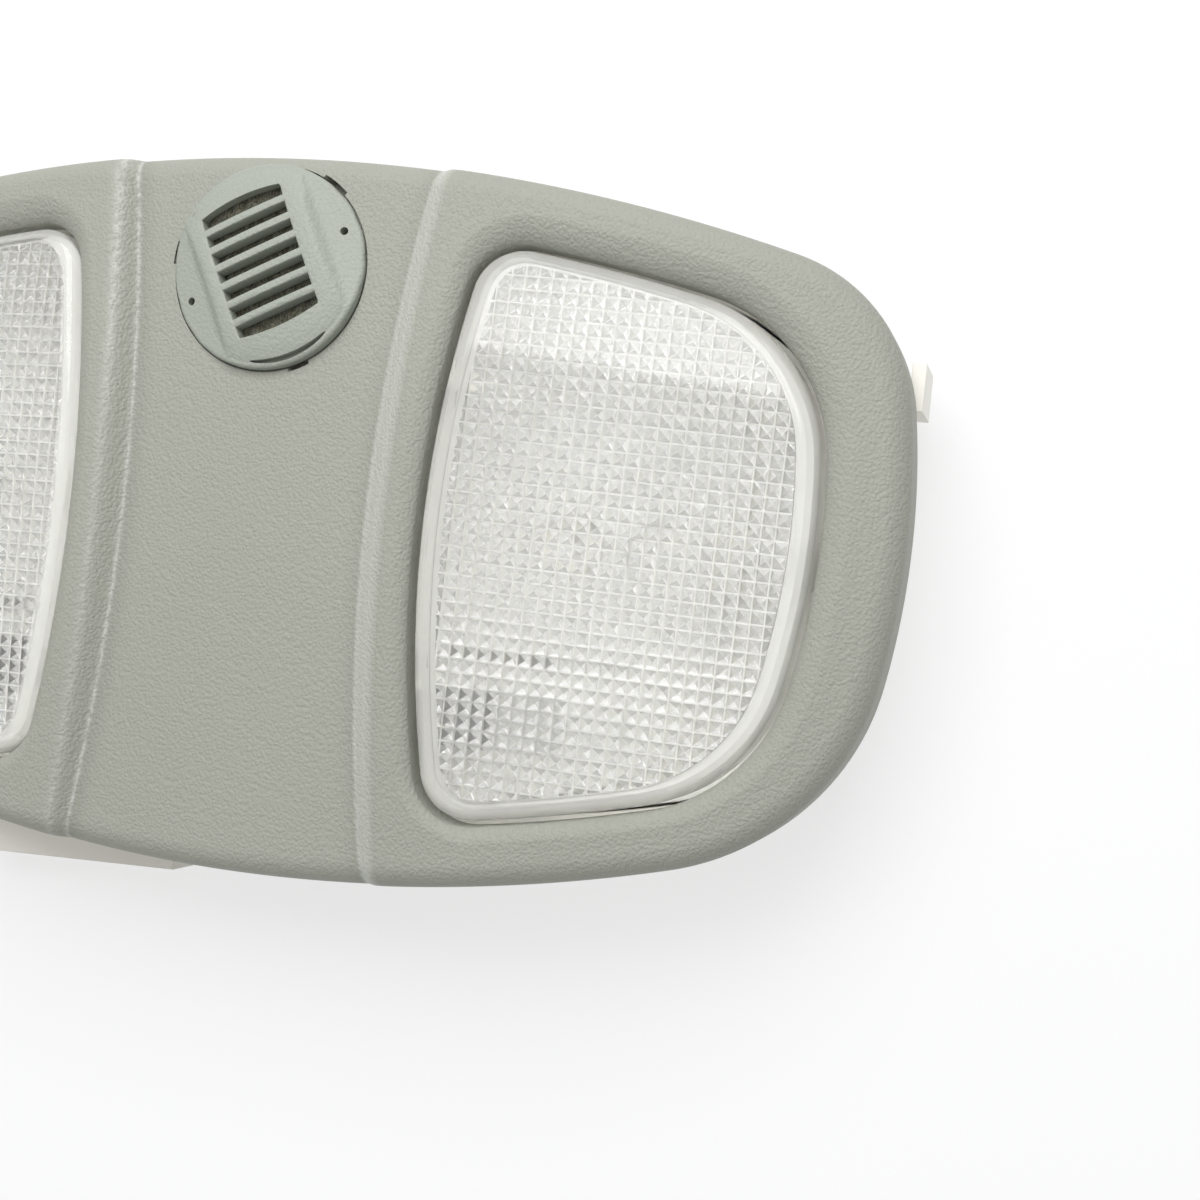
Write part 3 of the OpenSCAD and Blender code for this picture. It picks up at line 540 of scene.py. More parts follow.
def panel_grids(shape, feet):
    """The sunk panel: columns from the rear edge to a line behind the cap, and rings round its hole."""
    c = settings("dome_cap")
    front_normals = even_normals(shape, feet[1], math.pi - feet[1], PANEL_COLUMNS)
    rear_normals = even_normals(shape, feet[0], -math.pi - feet[0], PANEL_COLUMNS)
    fronts = on_outline(shape, front_normals, -FACE_IN)
    rears = on_outline(shape, rear_normals, -FACE_IN)
    side = column(fronts[0], rears[0], left_foot_line, foot_line)
    split = side[SPLIT_ROW]
    line = np.stack([np.linspace(split[0], -split[0], PANEL_COLUMNS), np.full(PANEL_COLUMNS, split[1])], -1)
    lower = np.array([column(e, r, left_foot_line, foot_line, SPLIT_ROW + 1) for e, r in zip(line, rears)])
    lower = point_grid(lower, face(lower[..., 0], lower[..., 1], shape))
    right = side[SPLIT_ROW:]
    loop = np.concatenate([right[:-1], fronts[:-1], (right * [-1, 1])[::-1][:-1], line[::-1][:-1]])
    middle = np.array([0.0, c.place])
    bearing = np.arctan2(*(loop - middle).T[::-1])
    from_notches = bearing[:, None] - np.radians([c.turn + t for t in NOTCH_TURNS])
    across = np.abs((from_notches + math.pi) % TURN - math.pi)
    notch = (across.min(1) * NOTCH_R < NOTCH_W / 2) * NOTCH_DROP
    rows = []
    for radius, drop in ((CAP_HOLE, CAP_HOLE_DEPTH), (CAP_HOLE, CAP_HOLE_DEPTH / 2), (CAP_HOLE, CAP_SINK),
                         (SEAT_R, CAP_SINK), (SEAT_R, 0), (NOTCH_R, 0), (NOTCH_LIP, 0)):
        p = middle + radius * direction(bearing)
        cut = np.maximum(drop, notch) if radius <= NOTCH_R else drop
        rows.append(point_grid(p, face(*p.T, shape) - cut))
    start = middle + NOTCH_LIP * direction(bearing)
    for share in np.linspace(0, 1, 14)[1:]:
        p = start + (loop - start) * share
        rows.append(point_grid(p, face(*p.T, shape)))
    return lower, np.array(rows)


def rim_grid(shape, edges, feet):
    """The rolled outer edge and the skirt: rings on curves parallel to the outline."""
    b = settings("dome_bezel")
    flank = even_normals(shape, *edges, RIM_STEPS)
    steps = [e + (f - e) * STEP_SHARES for e, f in zip(edges, feet)]
    front = even_normals(shape, feet[1], math.pi - feet[1], PANEL_COLUMNS)
    rear = even_normals(shape, feet[0], -math.pi - feet[0], PANEL_COLUMNS)
    runs = [flank, steps[1], front, math.pi - steps[1][::-1], math.pi - flank[::-1], math.pi - steps[0],
            rear[::-1] + TURN, steps[0][::-1] + TURN]
    normals = np.concatenate([r[:-1] for r in runs])
    first = math.asin(1 - FACE_IN / b.edge_r)
    rings = [(-b.edge_r * (1 - math.sin(t)), b.edge_r * (1 - math.cos(t)))
             for t in np.linspace(first, math.pi / 2, 9)]
    rings += [(0, d) for d in (6.0, 9.0, b.skirt - 0.4, b.skirt)]
    rows = []
    for offset, drop in rings:
        p = on_outline(shape, normals, offset)
        rows.append(point_grid(p, crown(*p.T) - sunk(*p.T) - drop))
    return np.array(rows)


def make_bezel():
    """The bezel's outer surface, which a wall is given to from behind."""
    shape, lens = bezel_outline(), lens_outline()
    work = Patchwork()
    flank, edges = flank_grid(shape, lens)
    work.mirrored(flank, wrap=True)
    feet = [crossing(shape, foot_line, half) for half in (-1, 1)]
    work.mirrored(step_grid(shape, edges, feet))
    lower, rings = panel_grids(shape, feet)
    work.grid(lower)
    work.grid(rings, wrap=True)
    work.grid(rim_grid(shape, edges, feet), wrap=True)
    obj = work.build("bezel_skin", merge=0.02)
    if face_up(obj) < 0:
        obj.data.flip_normals()
    sharpen(obj, 40)
    solidify(obj, settings("dome_bezel").wall)
    return obj


def face_up(obj):
    """Mean upward part of a mesh's normals, to tell whether an open shell points out."""
    flat = np.zeros(len(obj.data.polygons) * 3)
    obj.data.polygons.foreach_get("normal", flat)
    area = np.zeros(len(obj.data.polygons))
    obj.data.polygons.foreach_get("area", area)
    return float((flat.reshape(-1, 3)[:, 2] * area).sum())


SCREW_AT = (32.0, 52.0)
BOSS_R = 3.2
PILOT_R = 1.1
PILOT_DEPTH = 8
BOSS_EDGE = 0.3
BOSS_SINK = 0.2
PLATE_TOP = 24.0


def make_bosses():
    """The four screw bosses behind the face."""
    b = settings("dome_bezel")
    shape = bezel_outline()
    work = Patchwork()
    for sx in (1, -1):
        for sy in (1, -1):
            at = np.array([[sx * SCREW_AT[0], sy * SCREW_AT[1]]])
            top = float(face(*at.T, shape)[0]) - b.wall + BOSS_SINK
            edge, pilot_end = PLATE_TOP + BOSS_EDGE, PLATE_TOP + PILOT_DEPTH
            profile = [(PILOT_R, pilot_end), (PILOT_R, edge), (PILOT_R + BOSS_EDGE, PLATE_TOP),
                       (BOSS_R - BOSS_EDGE, PLATE_TOP), (BOSS_R, edge), (BOSS_R, top), (0.0, top),
                       (0.0, pilot_end)]
            turned(work, profile, Matrix.Translation((*at[0], 0)), close=True)
    return work.build("bezel_bosses")


# Lenses

FIELD_MARGINS = {"front": 2.5, "rear": 3.2, "outer": 4.1, "inner": 3.6, "shrink": 2.5}
LATTICE_AT = (64.1, 10.5)
GRID_REACH = 66.0
BORDER_STEPS = 240
FLANGE_DROP = 1.0
SKIRT_T = 2.0
SKIRT_EDGE = 0.2
FROST_FADE = 0.8


def pyramid_height(x, y):
    """Height of a field of square pyramids: one at a cell's middle, falling to nothing at its sides."""
    s = settings("dome_lens")
    turn = math.radians(s.lattice_turn)
    u = (x - LATTICE_AT[0]) * math.cos(turn) + (y - LATTICE_AT[1]) * math.sin(turn)
    v = (y - LATTICE_AT[1]) * math.cos(turn) - (x - LATTICE_AT[0]) * math.sin(turn)
    side = np.maximum(*[np.abs((w / s.pitch) % 1 - 0.5) * 2 for w in (u, v)])
    flat = 2 * s.valley / s.pitch
    return s.peak * np.clip((1 - side - flat) / (1 - flat), 0, 1)


def pyramid_field(loop):
    """A flat net cut along every ridge and valley of the pyramids and along the field's outline,
    as points and triangles."""
    s = settings("dome_lens")
    turn = math.radians(s.lattice_turn)
    ways = np.array([[math.cos(turn), math.sin(turn)], [-math.sin(turn), math.cos(turn)]])
    count = int(GRID_REACH / s.pitch) + 1
    k = np.arange(-count, count + 1)[:, None] * s.pitch
    k = np.concatenate([k - s.valley, k + s.valley])
    far = np.full_like(k, GRID_REACH)
    runs = [(np.hstack([k, -far]), np.hstack([k, far])), (np.hstack([-far, k]), np.hstack([far, k]))]
    k = np.arange(-2 * count, 2 * count + 1)[:, None] * s.pitch
    far = np.full_like(k, GRID_REACH)
    runs += [(np.hstack([-far, k - far]), np.hstack([far, k + far])),
             (np.hstack([-far, k + far]), np.hstack([far, k - far]))]
    start = np.concatenate([r[0] for r in runs]) @ ways + LATTICE_AT
    stop = np.concatenate([r[1] for r in runs]) @ ways + LATTICE_AT
    start, stop = clip_lines(start, stop, loop.min(0) - 1, loop.max(0) + 1)
    points = np.concatenate([loop, start, stop])
    n, m = len(loop), len(start)
    lines = [(n + i, n + m + i) for i in range(m)]
    result = delaunay_2d_cdt([Vector(p) for p in points], lines, [list(range(n))], 0, 1e-5, True)
    flat = np.array([tuple(v) for v in result[0]])
    tris = np.array([f for f, origin in zip(result[2], result[5]) if origin])
    used, index = np.unique(tris, return_inverse=True)
    return flat[used], index.reshape(-1, 3)


def clip_lines(start, stop, low, high):
    """Cuts lines to a box and drops those that miss it: what stays runs from a line's entry to its exit."""
    way = stop - start
    way[np.abs(way) < 1e-9] = 1e-9
    a, b = (low - start) / way, (high - start) / way
    enter, leave = np.minimum(a, b).max(1), np.maximum(a, b).min(1)
    kept = leave - enter > 1e-3
    return (start + way * enter[:, None])[kept], (start + way * leave[:, None])[kept]


def border_of(tris):
    """Points on the border of a net of triangles: ends of the edges that only one triangle has."""
    edges = np.sort(np.concatenate([tris[:, [0, 1]], tris[:, [1, 2]], tris[:, [2, 0]]]), 1)
    pairs, times = np.unique(edges, axis=0, return_counts=True)
    return np.unique(pairs[times == 1])


def make_lens(side):
    """A lens: crowned clear face with a rounded rim and skirt, and a field of pyramids on its inner side."""
    s = settings("dome_lens")
    lens, field = lens_outline(), lens_outline(**FIELD_MARGINS)
    loop = on_outline(field, even_normals(field, field[0, 3], field[0, 3] + TURN, BORDER_STEPS + 1)[:-1])
    flat, tris = pyramid_field(loop)
    inner = s.sunk + s.wall
    work = Patchwork()
    work.triangles(point_grid(flat, crown(*flat.T) - inner - pyramid_height(*flat.T)), tris)
    middle = lens_middle()
    border = flat[border_of(tris)]
    border = border[np.argsort(np.arctan2(*(border - middle).T[::-1]))]
    normals = facing_normals(lens, middle, border, np.zeros_like)
    low = s.sunk + s.depth
    rim = on_outline(lens, normals, -s.rim_r)
    rings = [(on_outline(lens, normals, -s.rim_r * (1 - math.cos(t))), s.sunk + s.rim_r * (1 - math.sin(t)))
             for t in np.linspace(0, math.pi / 2, 9)]
    top = [(on_outline(lens, normals), low), (on_outline(lens, normals), s.sunk + s.rim_r + 0.3)] + rings
    top += [(rim + (border - rim) * share, s.sunk) for share in (0.4, 1.0)]
    top += [(middle + (border - middle) * share, s.sunk) for share in (0.8, 0.55, 0.3, 0.1, 0.0)]
    work.grid(np.array([point_grid(p, crown(*p.T) - depth) for p, depth in top]), wrap=True)
    skirt = on_outline(lens, normals, -SKIRT_T)
    flange = inner + FLANGE_DROP
    under = [point_grid(border, crown(*border.T) - inner - pyramid_height(*border.T))]
    under += [point_grid(p, crown(*p.T) - depth) for p, depth in (
        (border, flange), (skirt + (border - skirt) * 0.3, flange), (skirt, flange + 0.4),
        (skirt, low - SKIRT_EDGE),
        (on_outline(lens, normals, -SKIRT_T + SKIRT_EDGE), low), (on_outline(lens, normals), low))]
    work.grid(np.array(under), wrap=True)
    obj = work.build(f"lens_{side}_clear", merge=0.004, mirror=SIDES[side] < 0)
    sharpen(obj, 20)
    rim = lens_outline(**{k: v - FROST_FADE / 2 for k, v in FIELD_MARGINS.items()})
    return frosted(obj, lambda p: np.clip(-inside(rim, np.abs(p[:, 0]), p[:, 1]) / FROST_FADE + 0.5, 0, 1))


HINGE_AT = (37.2, 29.5)
LUG_AT = 21.9
LUG_W = 3.2
LUG_SPAN = (2, 5.9)
LUG_HEIGHTS = (-2.4, 5.6)
TRUNNION_END = 4
TRUNNION = ((0, 0), (1.2, 0), (1.5, 0.3), (1.5, 4.5), (0, 4.5))
PAD_IN = 2.6
PAD_HALF = (1.7, 4)
PAD_H = 3
PAD_DROP = 1.6


def make_hinge(side):
    """What a lens hangs by and pushes with: two lugs with trunnions at its inner side, and a pad outside."""
    b, s = settings("dome_bezel"), settings("dome_lens")
    x, z = HINGE_AT
    work = Patchwork()
    for e in (1, -1):
        low, high = [(s.inner_x + out, e * LUG_AT + way * LUG_W / 2, z + up)
                     for out, way, up in zip(LUG_SPAN, (-1, 1), LUG_HEIGHTS)]
        block(work, low, high)
        place = Matrix.Translation((x, e * (LUG_AT + TRUNNION_END), z))
        turned(work, TRUNNION, place @ Matrix.Rotation(e * math.pi / 2, 4, "X"))
    pad_x = b.width / 2 - s.side_margin - PAD_IN
    pad_z = float(crown(pad_x, 0.0)) - s.sunk - s.depth - PAD_DROP
    half_x, half_y = PAD_HALF
    block(work, (pad_x - half_x, -half_y, pad_z), (pad_x + half_x, half_y, pad_z + PAD_H))
    obj = work.build(f"lens_{side}_hinge", mirror=SIDES[side] < 0)
    return frosted(obj, lambda p: np.ones(len(p)))


# Cap

UNDER_CAP = 0.72
SLOT_ROUND = 0.4
ARCH_R = 30.0
ARCH_EXTRA = 0.7
SLOTS_AT = (-0.35, 0.7)
SLOT_MARGIN = (1.7, 2.6)
CAP_EDGE = 0.9
CAP_EDGE_FLAT = 0.8
DOME_RADII = (0, 6, 10, 12.5, 14.5, 16, 17, 18)
DOME_DROPS = (0, 0.06, 0.3, 0.62, 1.0, 1.42, 1.85, 2.6)
BAND_DROP = 0.25
BAND_SLOPE = 1.25
BAND_EASE = (1.05, 1.45)
BAND_FLAT = 0.6
BAND_BLEND = 0.22
SKIRT_RADII = (15.9, 14.45)
SKIRT_HEIGHTS = (-0.7, -6.0)
CAP_CREASE = 38


def cap_place():
    """The cap's frame: its seat on the sunk panel, tilted with the floor and turned to its slots."""
    b, c = settings("dome_bezel"), settings("dome_cap")
    y = c.place
    change = (b.sunk_end - b.sunk_mid) / (b.front * b.rear)
    height = b.face - y * y / (2 * b.crown_y) - b.sunk_mid - change * y * y
    tilt = math.atan(y / b.crown_y + 2 * y * change)
    seat = Matrix.Translation((0, y, height)) @ Matrix.Rotation(-tilt, 4, "X")
    return seat @ Matrix.Rotation(math.radians(c.turn), 4, "Z")


def in_place(points, place):
    """Points of a piece's own frame, carried to the lamp's."""
    m = np.array(place)
    return points @ m[:3, :3].T + m[:3, 3]


def cap_top(u, v):
    """Height of the cap: the lower of a dome and of a band with sloping sides, with the meeting rounded."""
    c = settings("dome_cap")
    r = np.hypot(u, v)
    dome = np.interp(r, DOME_RADII, c.height - np.array(DOME_DROPS))
    over = np.abs(u) - c.band / 2
    ease, eased_from = BAND_EASE
    flank = c.height - BAND_DROP - BAND_SLOPE * np.clip(over, -BAND_FLAT, None)
    flank = flank + ease * np.clip(over - eased_from, 0, None)
    return (dome + flank - np.sqrt((dome - flank) ** 2 + BAND_BLEND ** 2)) / 2


def near_lines(edge, width, count=5):
    """Grid lines that crowd over a rounded edge."""
    return edge + np.array([0, 0.04, 0.16, 0.42, 1.0])[:count] * width


def slot_lines():
    """Grid lines along and across the slots, and the rows that each slot takes up."""
    c = settings("dome_cap")
    half = c.slot_l / 2
    out = near_lines(half, SLOT_ROUND)
    u = np.concatenate([-out[::-1], np.linspace(-half, half, 17)[1:-1], out])
    u = np.concatenate([[-half - SLOT_MARGIN[0]], u, [half + SLOT_MARGIN[0]]])
    arch = c.pitch * (c.slots - 1) / 2 + c.slot_w / 2 + ARCH_EXTRA
    last = arch - ARCH_R + math.sqrt(ARCH_R ** 2 - half ** 2)
    v = []
    for i in range(c.slots - 1):
        low = (i - (c.slots - 1) / 2) * c.pitch + c.slot_w / 2
        high = low + c.pitch - c.slot_w
        edge = near_lines(low, SLOT_ROUND, 4)
        v += [edge, [(low + high) / 2], low + high - edge[::-1]]
    ends = near_lines(last, SLOT_ROUND)
    v = np.concatenate([[-last - SLOT_MARGIN[1]], -ends[::-1], *v, ends, [last + SLOT_MARGIN[1]]])
    return u, v, arch, last


def make_cap():
    """The grille cap: a slotted patch with rounded slot edges, rings out to the rim, and an underside."""
    c = settings("dome_cap")
    u, v, arch, last = slot_lines()
    half = c.slot_l / 2
    gu, gv = np.meshgrid(u, v)
    arc = arch - ARCH_R + np.sqrt(ARCH_R ** 2 - np.clip(np.abs(gu), 0, half) ** 2)
    margin = SLOT_MARGIN[1]
    fade = np.clip((last + margin - np.abs(gv)) / margin, 0, 1) * (np.abs(gv) >= last - 1e-6)
    gv = gv + np.sign(gv) * (arc - last) * fade
    mid_u = (u[1:] + u[:-1]) / 2
    mid_v = (v[1:] + v[:-1]) / 2
    first = (c.slots - 1) / 2 * c.pitch
    slot_v = np.arange(c.slots) * c.pitch - first
    open_v = np.abs(mid_v[:, None] - slot_v).min(1) < c.slot_w / 2 - 1e-6
    open_v |= (np.abs(mid_v) < last) & (np.abs(mid_v) > first - c.slot_w / 2)
    hole = open_v[:, None] & (np.abs(mid_u) < half)[None, :]
    far = np.maximum(np.abs(gu) - half, 0)
    across = np.maximum(np.abs(gv[..., None] - slot_v) - c.slot_w / 2, 0).min(-1)
    across = np.where(np.abs(gv) > first, np.maximum(np.abs(gv) - arc, 0), across)
    away = np.clip(SLOT_ROUND - np.hypot(far, across), 0, SLOT_ROUND)
    drop = SLOT_ROUND - np.sqrt(SLOT_ROUND ** 2 - away ** 2)
    gu, gv = gu + SLOTS_AT[0], gv + SLOTS_AT[1]
    top = np.stack([gu, gv, cap_top(gu, gv) - drop], -1)
    low = np.stack([gu, gv, np.full_like(gu, UNDER_CAP)], -1)
    work = Patchwork()
    quads = grid_faces(*gu.shape)[~hole.reshape(-1)]
    place = cap_place()
    for sheet, order in ((top, 1), (low, -1)):
        work.faces(in_place(sheet.reshape(-1, 3), place), quads[:, ::order])
    edge = loose_edges(quads)
    walls = np.concatenate([edge, edge[:, ::-1] + gu.size], 1)
    outline = np.abs(gu.reshape(-1) - SLOTS_AT[0]) < u[-1] - 1e-6
    outline &= np.abs(np.repeat(v, len(u))) < v[-1] - 1e-6
    walls = walls[outline[edge].all(1)]
    work.quads.append(walls)
    ring = np.concatenate([top[0, :-1], top[:-1, -1], top[-1, :0:-1], top[:0:-1, 0]])[:, :2]
    bearing = np.arctan2(ring[:, 1], ring[:, 0])
    rows = [point_grid(ring, cap_top(*ring.T))]
    rim = (c.radius - CAP_EDGE) * direction(bearing)
    for share in np.linspace(0, 1, 11)[1:]:
        p = ring + (rim - ring) * share
        rows.append(point_grid(p, cap_top(*p.T)))
    for t in np.radians(np.linspace(0, 90, 7))[1:]:
        p = (c.radius - CAP_EDGE + CAP_EDGE * math.sin(t)) * direction(bearing)
        rows.append(point_grid(p, cap_top(*rim.T) - CAP_EDGE * CAP_EDGE_FLAT * (1 - math.cos(t))))
    outer, inner = SKIRT_RADII
    start, stop = SKIRT_HEIGHTS
    for radius, height in ((c.radius, start + 0.4), (c.radius - 0.4, start), (outer, start), (outer, stop),
                           (inner, stop), (inner, UNDER_CAP)):
        rows.append(point_grid(radius * direction(bearing), np.full(len(ring), height)))
    rows.append(point_grid(ring, np.full(len(ring), UNDER_CAP)))
    work.placed(np.array(rows), place, wrap=True)
    obj = work.build("grille_cap_shell", merge=0.003)
    sharpen(obj, CAP_CREASE)
    return obj


PRY_TURNS = (-118.5, -66.5)
PRY_AT = 16.75
PRY_BOTTOM = 0.35
PRY_STEPS = 25
PRY_HALF = (0.06, 0.40)
PIN_AT = 15.2
PIN_R = 0.7
PIN_BOTTOM = -3
CUT_TOP = 5


def cut_cap(obj):
    """Cuts the two pin holes and the crescent pry slot, and takes the tools away."""
    place = cap_place()
    tools = Patchwork()
    for turn in (0, math.pi):
        at = place @ Matrix.Rotation(turn, 4, "Z") @ Matrix.Translation((PIN_AT, 0, 0))
        turned(tools, [(0, PIN_BOTTOM), (PIN_R, PIN_BOTTOM), (PIN_R, CUT_TOP), (0, CUT_TOP)], at, 24)
    t = np.linspace(0, 1, PRY_STEPS)
    turns = np.radians(PRY_TURNS[0] + (PRY_TURNS[1] - PRY_TURNS[0]) * t)
    half = PRY_HALF[0] + PRY_HALF[1] * np.sin(t * math.pi) ** 0.6
    rows = []
    for side, height in ((-1, PRY_BOTTOM), (1, PRY_BOTTOM), (1, CUT_TOP), (-1, CUT_TOP)):
        p = (PRY_AT + side * half)[:, None] * direction(turns)
        rows.append(point_grid(p, np.full(PRY_STEPS, height)))
    rows = np.array(rows + rows[:1])
    tools.placed(rows, place)
    for end in (rows[:4, 0], rows[:4, -1]):
        tools.faces(in_place(end, place), np.array([[0, 1, 2, 3]]))
    tool = tools.build("cap_tools")
    cut = obj.modifiers.new("cuts", "BOOLEAN")
    cut.object, cut.operation, cut.solver = tool, "DIFFERENCE", "EXACT"
    bpy.context.view_layer.objects.active = obj
    with bpy.context.temp_override(object=obj, active_object=obj):
        bpy.ops.object.modifier_apply(modifier=cut.name)
    bpy.data.objects.remove(tool)
    sharpen(obj, CAP_CREASE)
    return obj


FELT_R = 14.38
FELT_TOP = 0.7
FELT_T = 1.58
FELT_EDGE = 0.3
FELT_STEPS = 180
LUMP_RANGE = (-0.45, 0.28)


def lumps(points, low, high, count, seed):
    """Uneven height of a fabric: many waves of random direction, length and phase added up."""
    random = np.random.default_rng(seed)
    turns, phases = random.uniform(0, TURN, count), random.uniform(0, TURN, count)
    lengths = random.uniform(low, high, count)
    waves = np.sin(points @ (direction(turns) * (TURN / lengths)[:, None]).T + phases)
    return waves.sum(1) / math.sqrt(count / 2)


def make_felt():
    """The felt under the slots: a disc with a lumpy top."""
    ring = direction(np.linspace(0, TURN, FELT_STEPS + 1)[:-1])
    level = FELT_TOP - 0.32
    rows = []
    for radius in np.linspace(0, FELT_R - FELT_EDGE, 60):
        flat = radius * ring
        lump = 0.16 * lumps(flat, 0.9, 3.2, 60, 4) + 0.05 * lumps(flat, 0.35, 0.8, 80, 5)
        rows.append(point_grid(flat, level + np.clip(lump, *LUMP_RANGE)))
    for radius, height in ((FELT_R, level - 0.2), (FELT_R, FELT_TOP - FELT_T), (0, FELT_TOP - FELT_T)):
        rows.append(point_grid(radius * ring, np.full(FELT_STEPS, height)))
    work = Patchwork()
    work.placed(np.array(rows), cap_place(), wrap=True)
    return work.build("felt_pad")


def loose_edges(quads):
    """Edges of a net that only one face has, in that face's order."""
    edges = np.concatenate([quads[:, [i, (i + 1) % 4]] for i in range(4)])
    _, index, times = np.unique(np.sort(edges, 1), axis=0, return_index=True, return_counts=True)
    return edges[index[times == 1]][:, ::-1]


# Materials

def shader(name):
    """A material with an empty tree, its Principled shader and its output."""
    mat = bpy.data.materials.new(name)
    mat.use_nodes = True
    nodes = mat.node_tree.nodes
    nodes.clear()
    out = nodes.new("ShaderNodeOutputMaterial")
    main = nodes.new("ShaderNodeBsdfPrincipled")
    mat.node_tree.links.new(main.outputs[0], out.inputs[0])
    return mat, mat.node_tree, main


def node(tree, kind, inputs=None, **values):
    """A node with its settings, and its inputs set or linked by name or number."""
    made = tree.nodes.new(kind)
    for key, value in values.items():
        setattr(made, key, value)
    for key, value in (inputs or {}).items():
        if isinstance(value, bpy.types.NodeSocket):
            tree.links.new(value, made.inputs[key])
        else:
            made.inputs[key].default_value = value
    return made


def sums(tree, operation, *values):
    """The result of a Math node."""
    return node(tree, "ShaderNodeMath", dict(enumerate(values)), operation=operation).outputs[0]


def object_place(tree):
    """Places in the piece's own coordinates."""
    return node(tree, "ShaderNodeTexCoord").outputs["Object"]


def noise(tree, place, scale, detail=2.0, **rest):
    """The grey value of a noise texture."""
    inputs = {"Vector": place, "Scale": scale, "Detail": detail, **rest}
    return node(tree, "ShaderNodeTexNoise", inputs).outputs["Fac"]


def between(tree, value, start, stop, low=0.0, high=1.0):
    """A value that runs from low to high between two limits, and stays there beyond them."""
    limits = {"Value": value, "From Min": start, "From Max": stop, "To Min": low, "To Max": high}
    return node(tree, "ShaderNodeMapRange", limits).outputs[0]


def scaled(tree, colour, factor):
    """A colour times a factor."""
    return node(tree, "ShaderNodeVectorMath", {0: colour, 3: factor}, operation="SCALE").outputs[0]


def group(name, inputs, outputs):
    """An empty node group with named sockets, and its input and output nodes."""
    tree = bpy.data.node_groups.new(name, "ShaderNodeTree")
    for label, kind, value in inputs:
        socket = tree.interface.new_socket(label, in_out="INPUT", socket_type=kind)
        if value is not None:
            socket.default_value = value
    for label, kind in outputs:
        tree.interface.new_socket(label, in_out="OUTPUT", socket_type=kind)
    return tree, tree.nodes.new("NodeGroupInput"), tree.nodes.new("NodeGroupOutput")


def moulded_grain():
    """Spark-eroded grain: rounded pebbles of two sizes from cell distances, broken up by noise."""
    tree, enter, leave = group("moulded_grain", [
        ("Pebbles per metre", "NodeSocketFloat", 1500.0), ("Softness", "NodeSocketFloat", 0.5)],
        [("Height", "NodeSocketFloat"), ("Speckle", "NodeSocketFloat")])
    place = object_place(tree)
    scale = enter.outputs["Pebbles per metre"]
    warp = node(tree, "ShaderNodeTexNoise", {"Vector": place, "Scale": 900.0, "Detail": 2.0})
    moved = node(tree, "ShaderNodeVectorMath", {
        0: warp.outputs["Color"], 1: (0.0006,) * 3}, operation="MULTIPLY")
    at = node(tree, "ShaderNodeVectorMath", {0: place, 1: moved.outputs[0]}, operation="ADD").outputs[0]
    big = node(tree, "ShaderNodeTexVoronoi", {"Vector": at, "Scale": scale}, feature="SMOOTH_F1")
    tree.links.new(enter.outputs["Softness"], big.inputs["Smoothness"])
    small = noise(tree, place, sums(tree, "MULTIPLY", scale, 2.2), 3.0)
    height = sums(tree, "SUBTRACT", sums(tree, "MULTIPLY", small, 0.55), big.outputs["Distance"])
    tree.links.new(height, leave.inputs["Height"])
    tree.links.new(small, leave.inputs["Speckle"])
    return tree


def soft_blotches():
    """Faint change of a colour over a surface, from slow noise: its mean is one."""
    tree, enter, leave = group("soft_blotches", [
        ("Colour", "NodeSocketColor", (0.5, 0.5, 0.5, 1)), ("Blotches per metre", "NodeSocketFloat", 40.0),
        ("Amount", "NodeSocketFloat", 0.06)], [("Colour", "NodeSocketColor")])
    place = object_place(tree)
    slow = noise(tree, place, enter.outputs["Blotches per metre"], 4.0)
    shift = sums(tree, "MULTIPLY", sums(tree, "SUBTRACT", slow, 0.5), enter.outputs["Amount"])
    gain = sums(tree, "MULTIPLY_ADD", shift, 2.0, 1.0)
    tree.links.new(scaled(tree, enter.outputs["Colour"], gain), leave.inputs["Colour"])
    return tree


def use(tree, made, inputs):
    """A group placed in a material with its values."""
    return node(tree, "ShaderNodeGroup", inputs, node_tree=made)


def blotched(tree, groups, colour, density, amount):
    """A colour with soft blotches, so many per metre."""
    inputs = {"Colour": colour4(colour), "Blotches per metre": density, "Amount": amount}
    return use(tree, groups["blotches"], inputs).outputs[0]


def colour4(value):
    """A colour with full alpha."""
    return (*value, 1.0)


def grained_plastic(name, colour, groups, strength=0.85, rough=0.54, step_wear_and_light=False):
    """Matt moulded plastic with a spark-eroded grain, speckled roughness and, on the bezel, worn steps with
    painted shade, highlights and sheen.
    """
    mat, tree, main = shader(name)
    grain = use(tree, groups["grain"], {"Pebbles per metre": 1700.0, "Softness": 0.4})
    base = blotched(tree, groups, colour, 35.0, 0.035)
    speckle = grain.outputs["Speckle"]
    shade = scaled(tree, base, sums(tree, "MULTIPLY_ADD", speckle, 0.14, 0.93))
    # The bezel's steps get wear and painted shade, highlights and sheen.
    if step_wear_and_light:
        shade = step_wear_and_painted_light(tree, shade)
    tree.links.new(shade, main.inputs["Base Color"])
    tree.links.new(sums(tree, "MULTIPLY_ADD", speckle, 0.12, rough - 0.06), main.inputs["Roughness"])
    bump = node(tree, "ShaderNodeBump", {
        "Height": grain.outputs["Height"], "Strength": strength, "Distance": 0.0002})
    tree.links.new(bump.outputs[0], main.inputs["Normal"])
    main.inputs["Specular IOR Level"].default_value = 0.42
    return mat


# Pale colour of the worn foot lines and of the painted highlights and sheen on the steps.
WEAR_AND_SHEEN_COLOUR = (0.72, 0.74, 0.70, 1.0)
SHADE_WIDTH = 5.0
TOP_HIGHLIGHT_REACH = 0.045


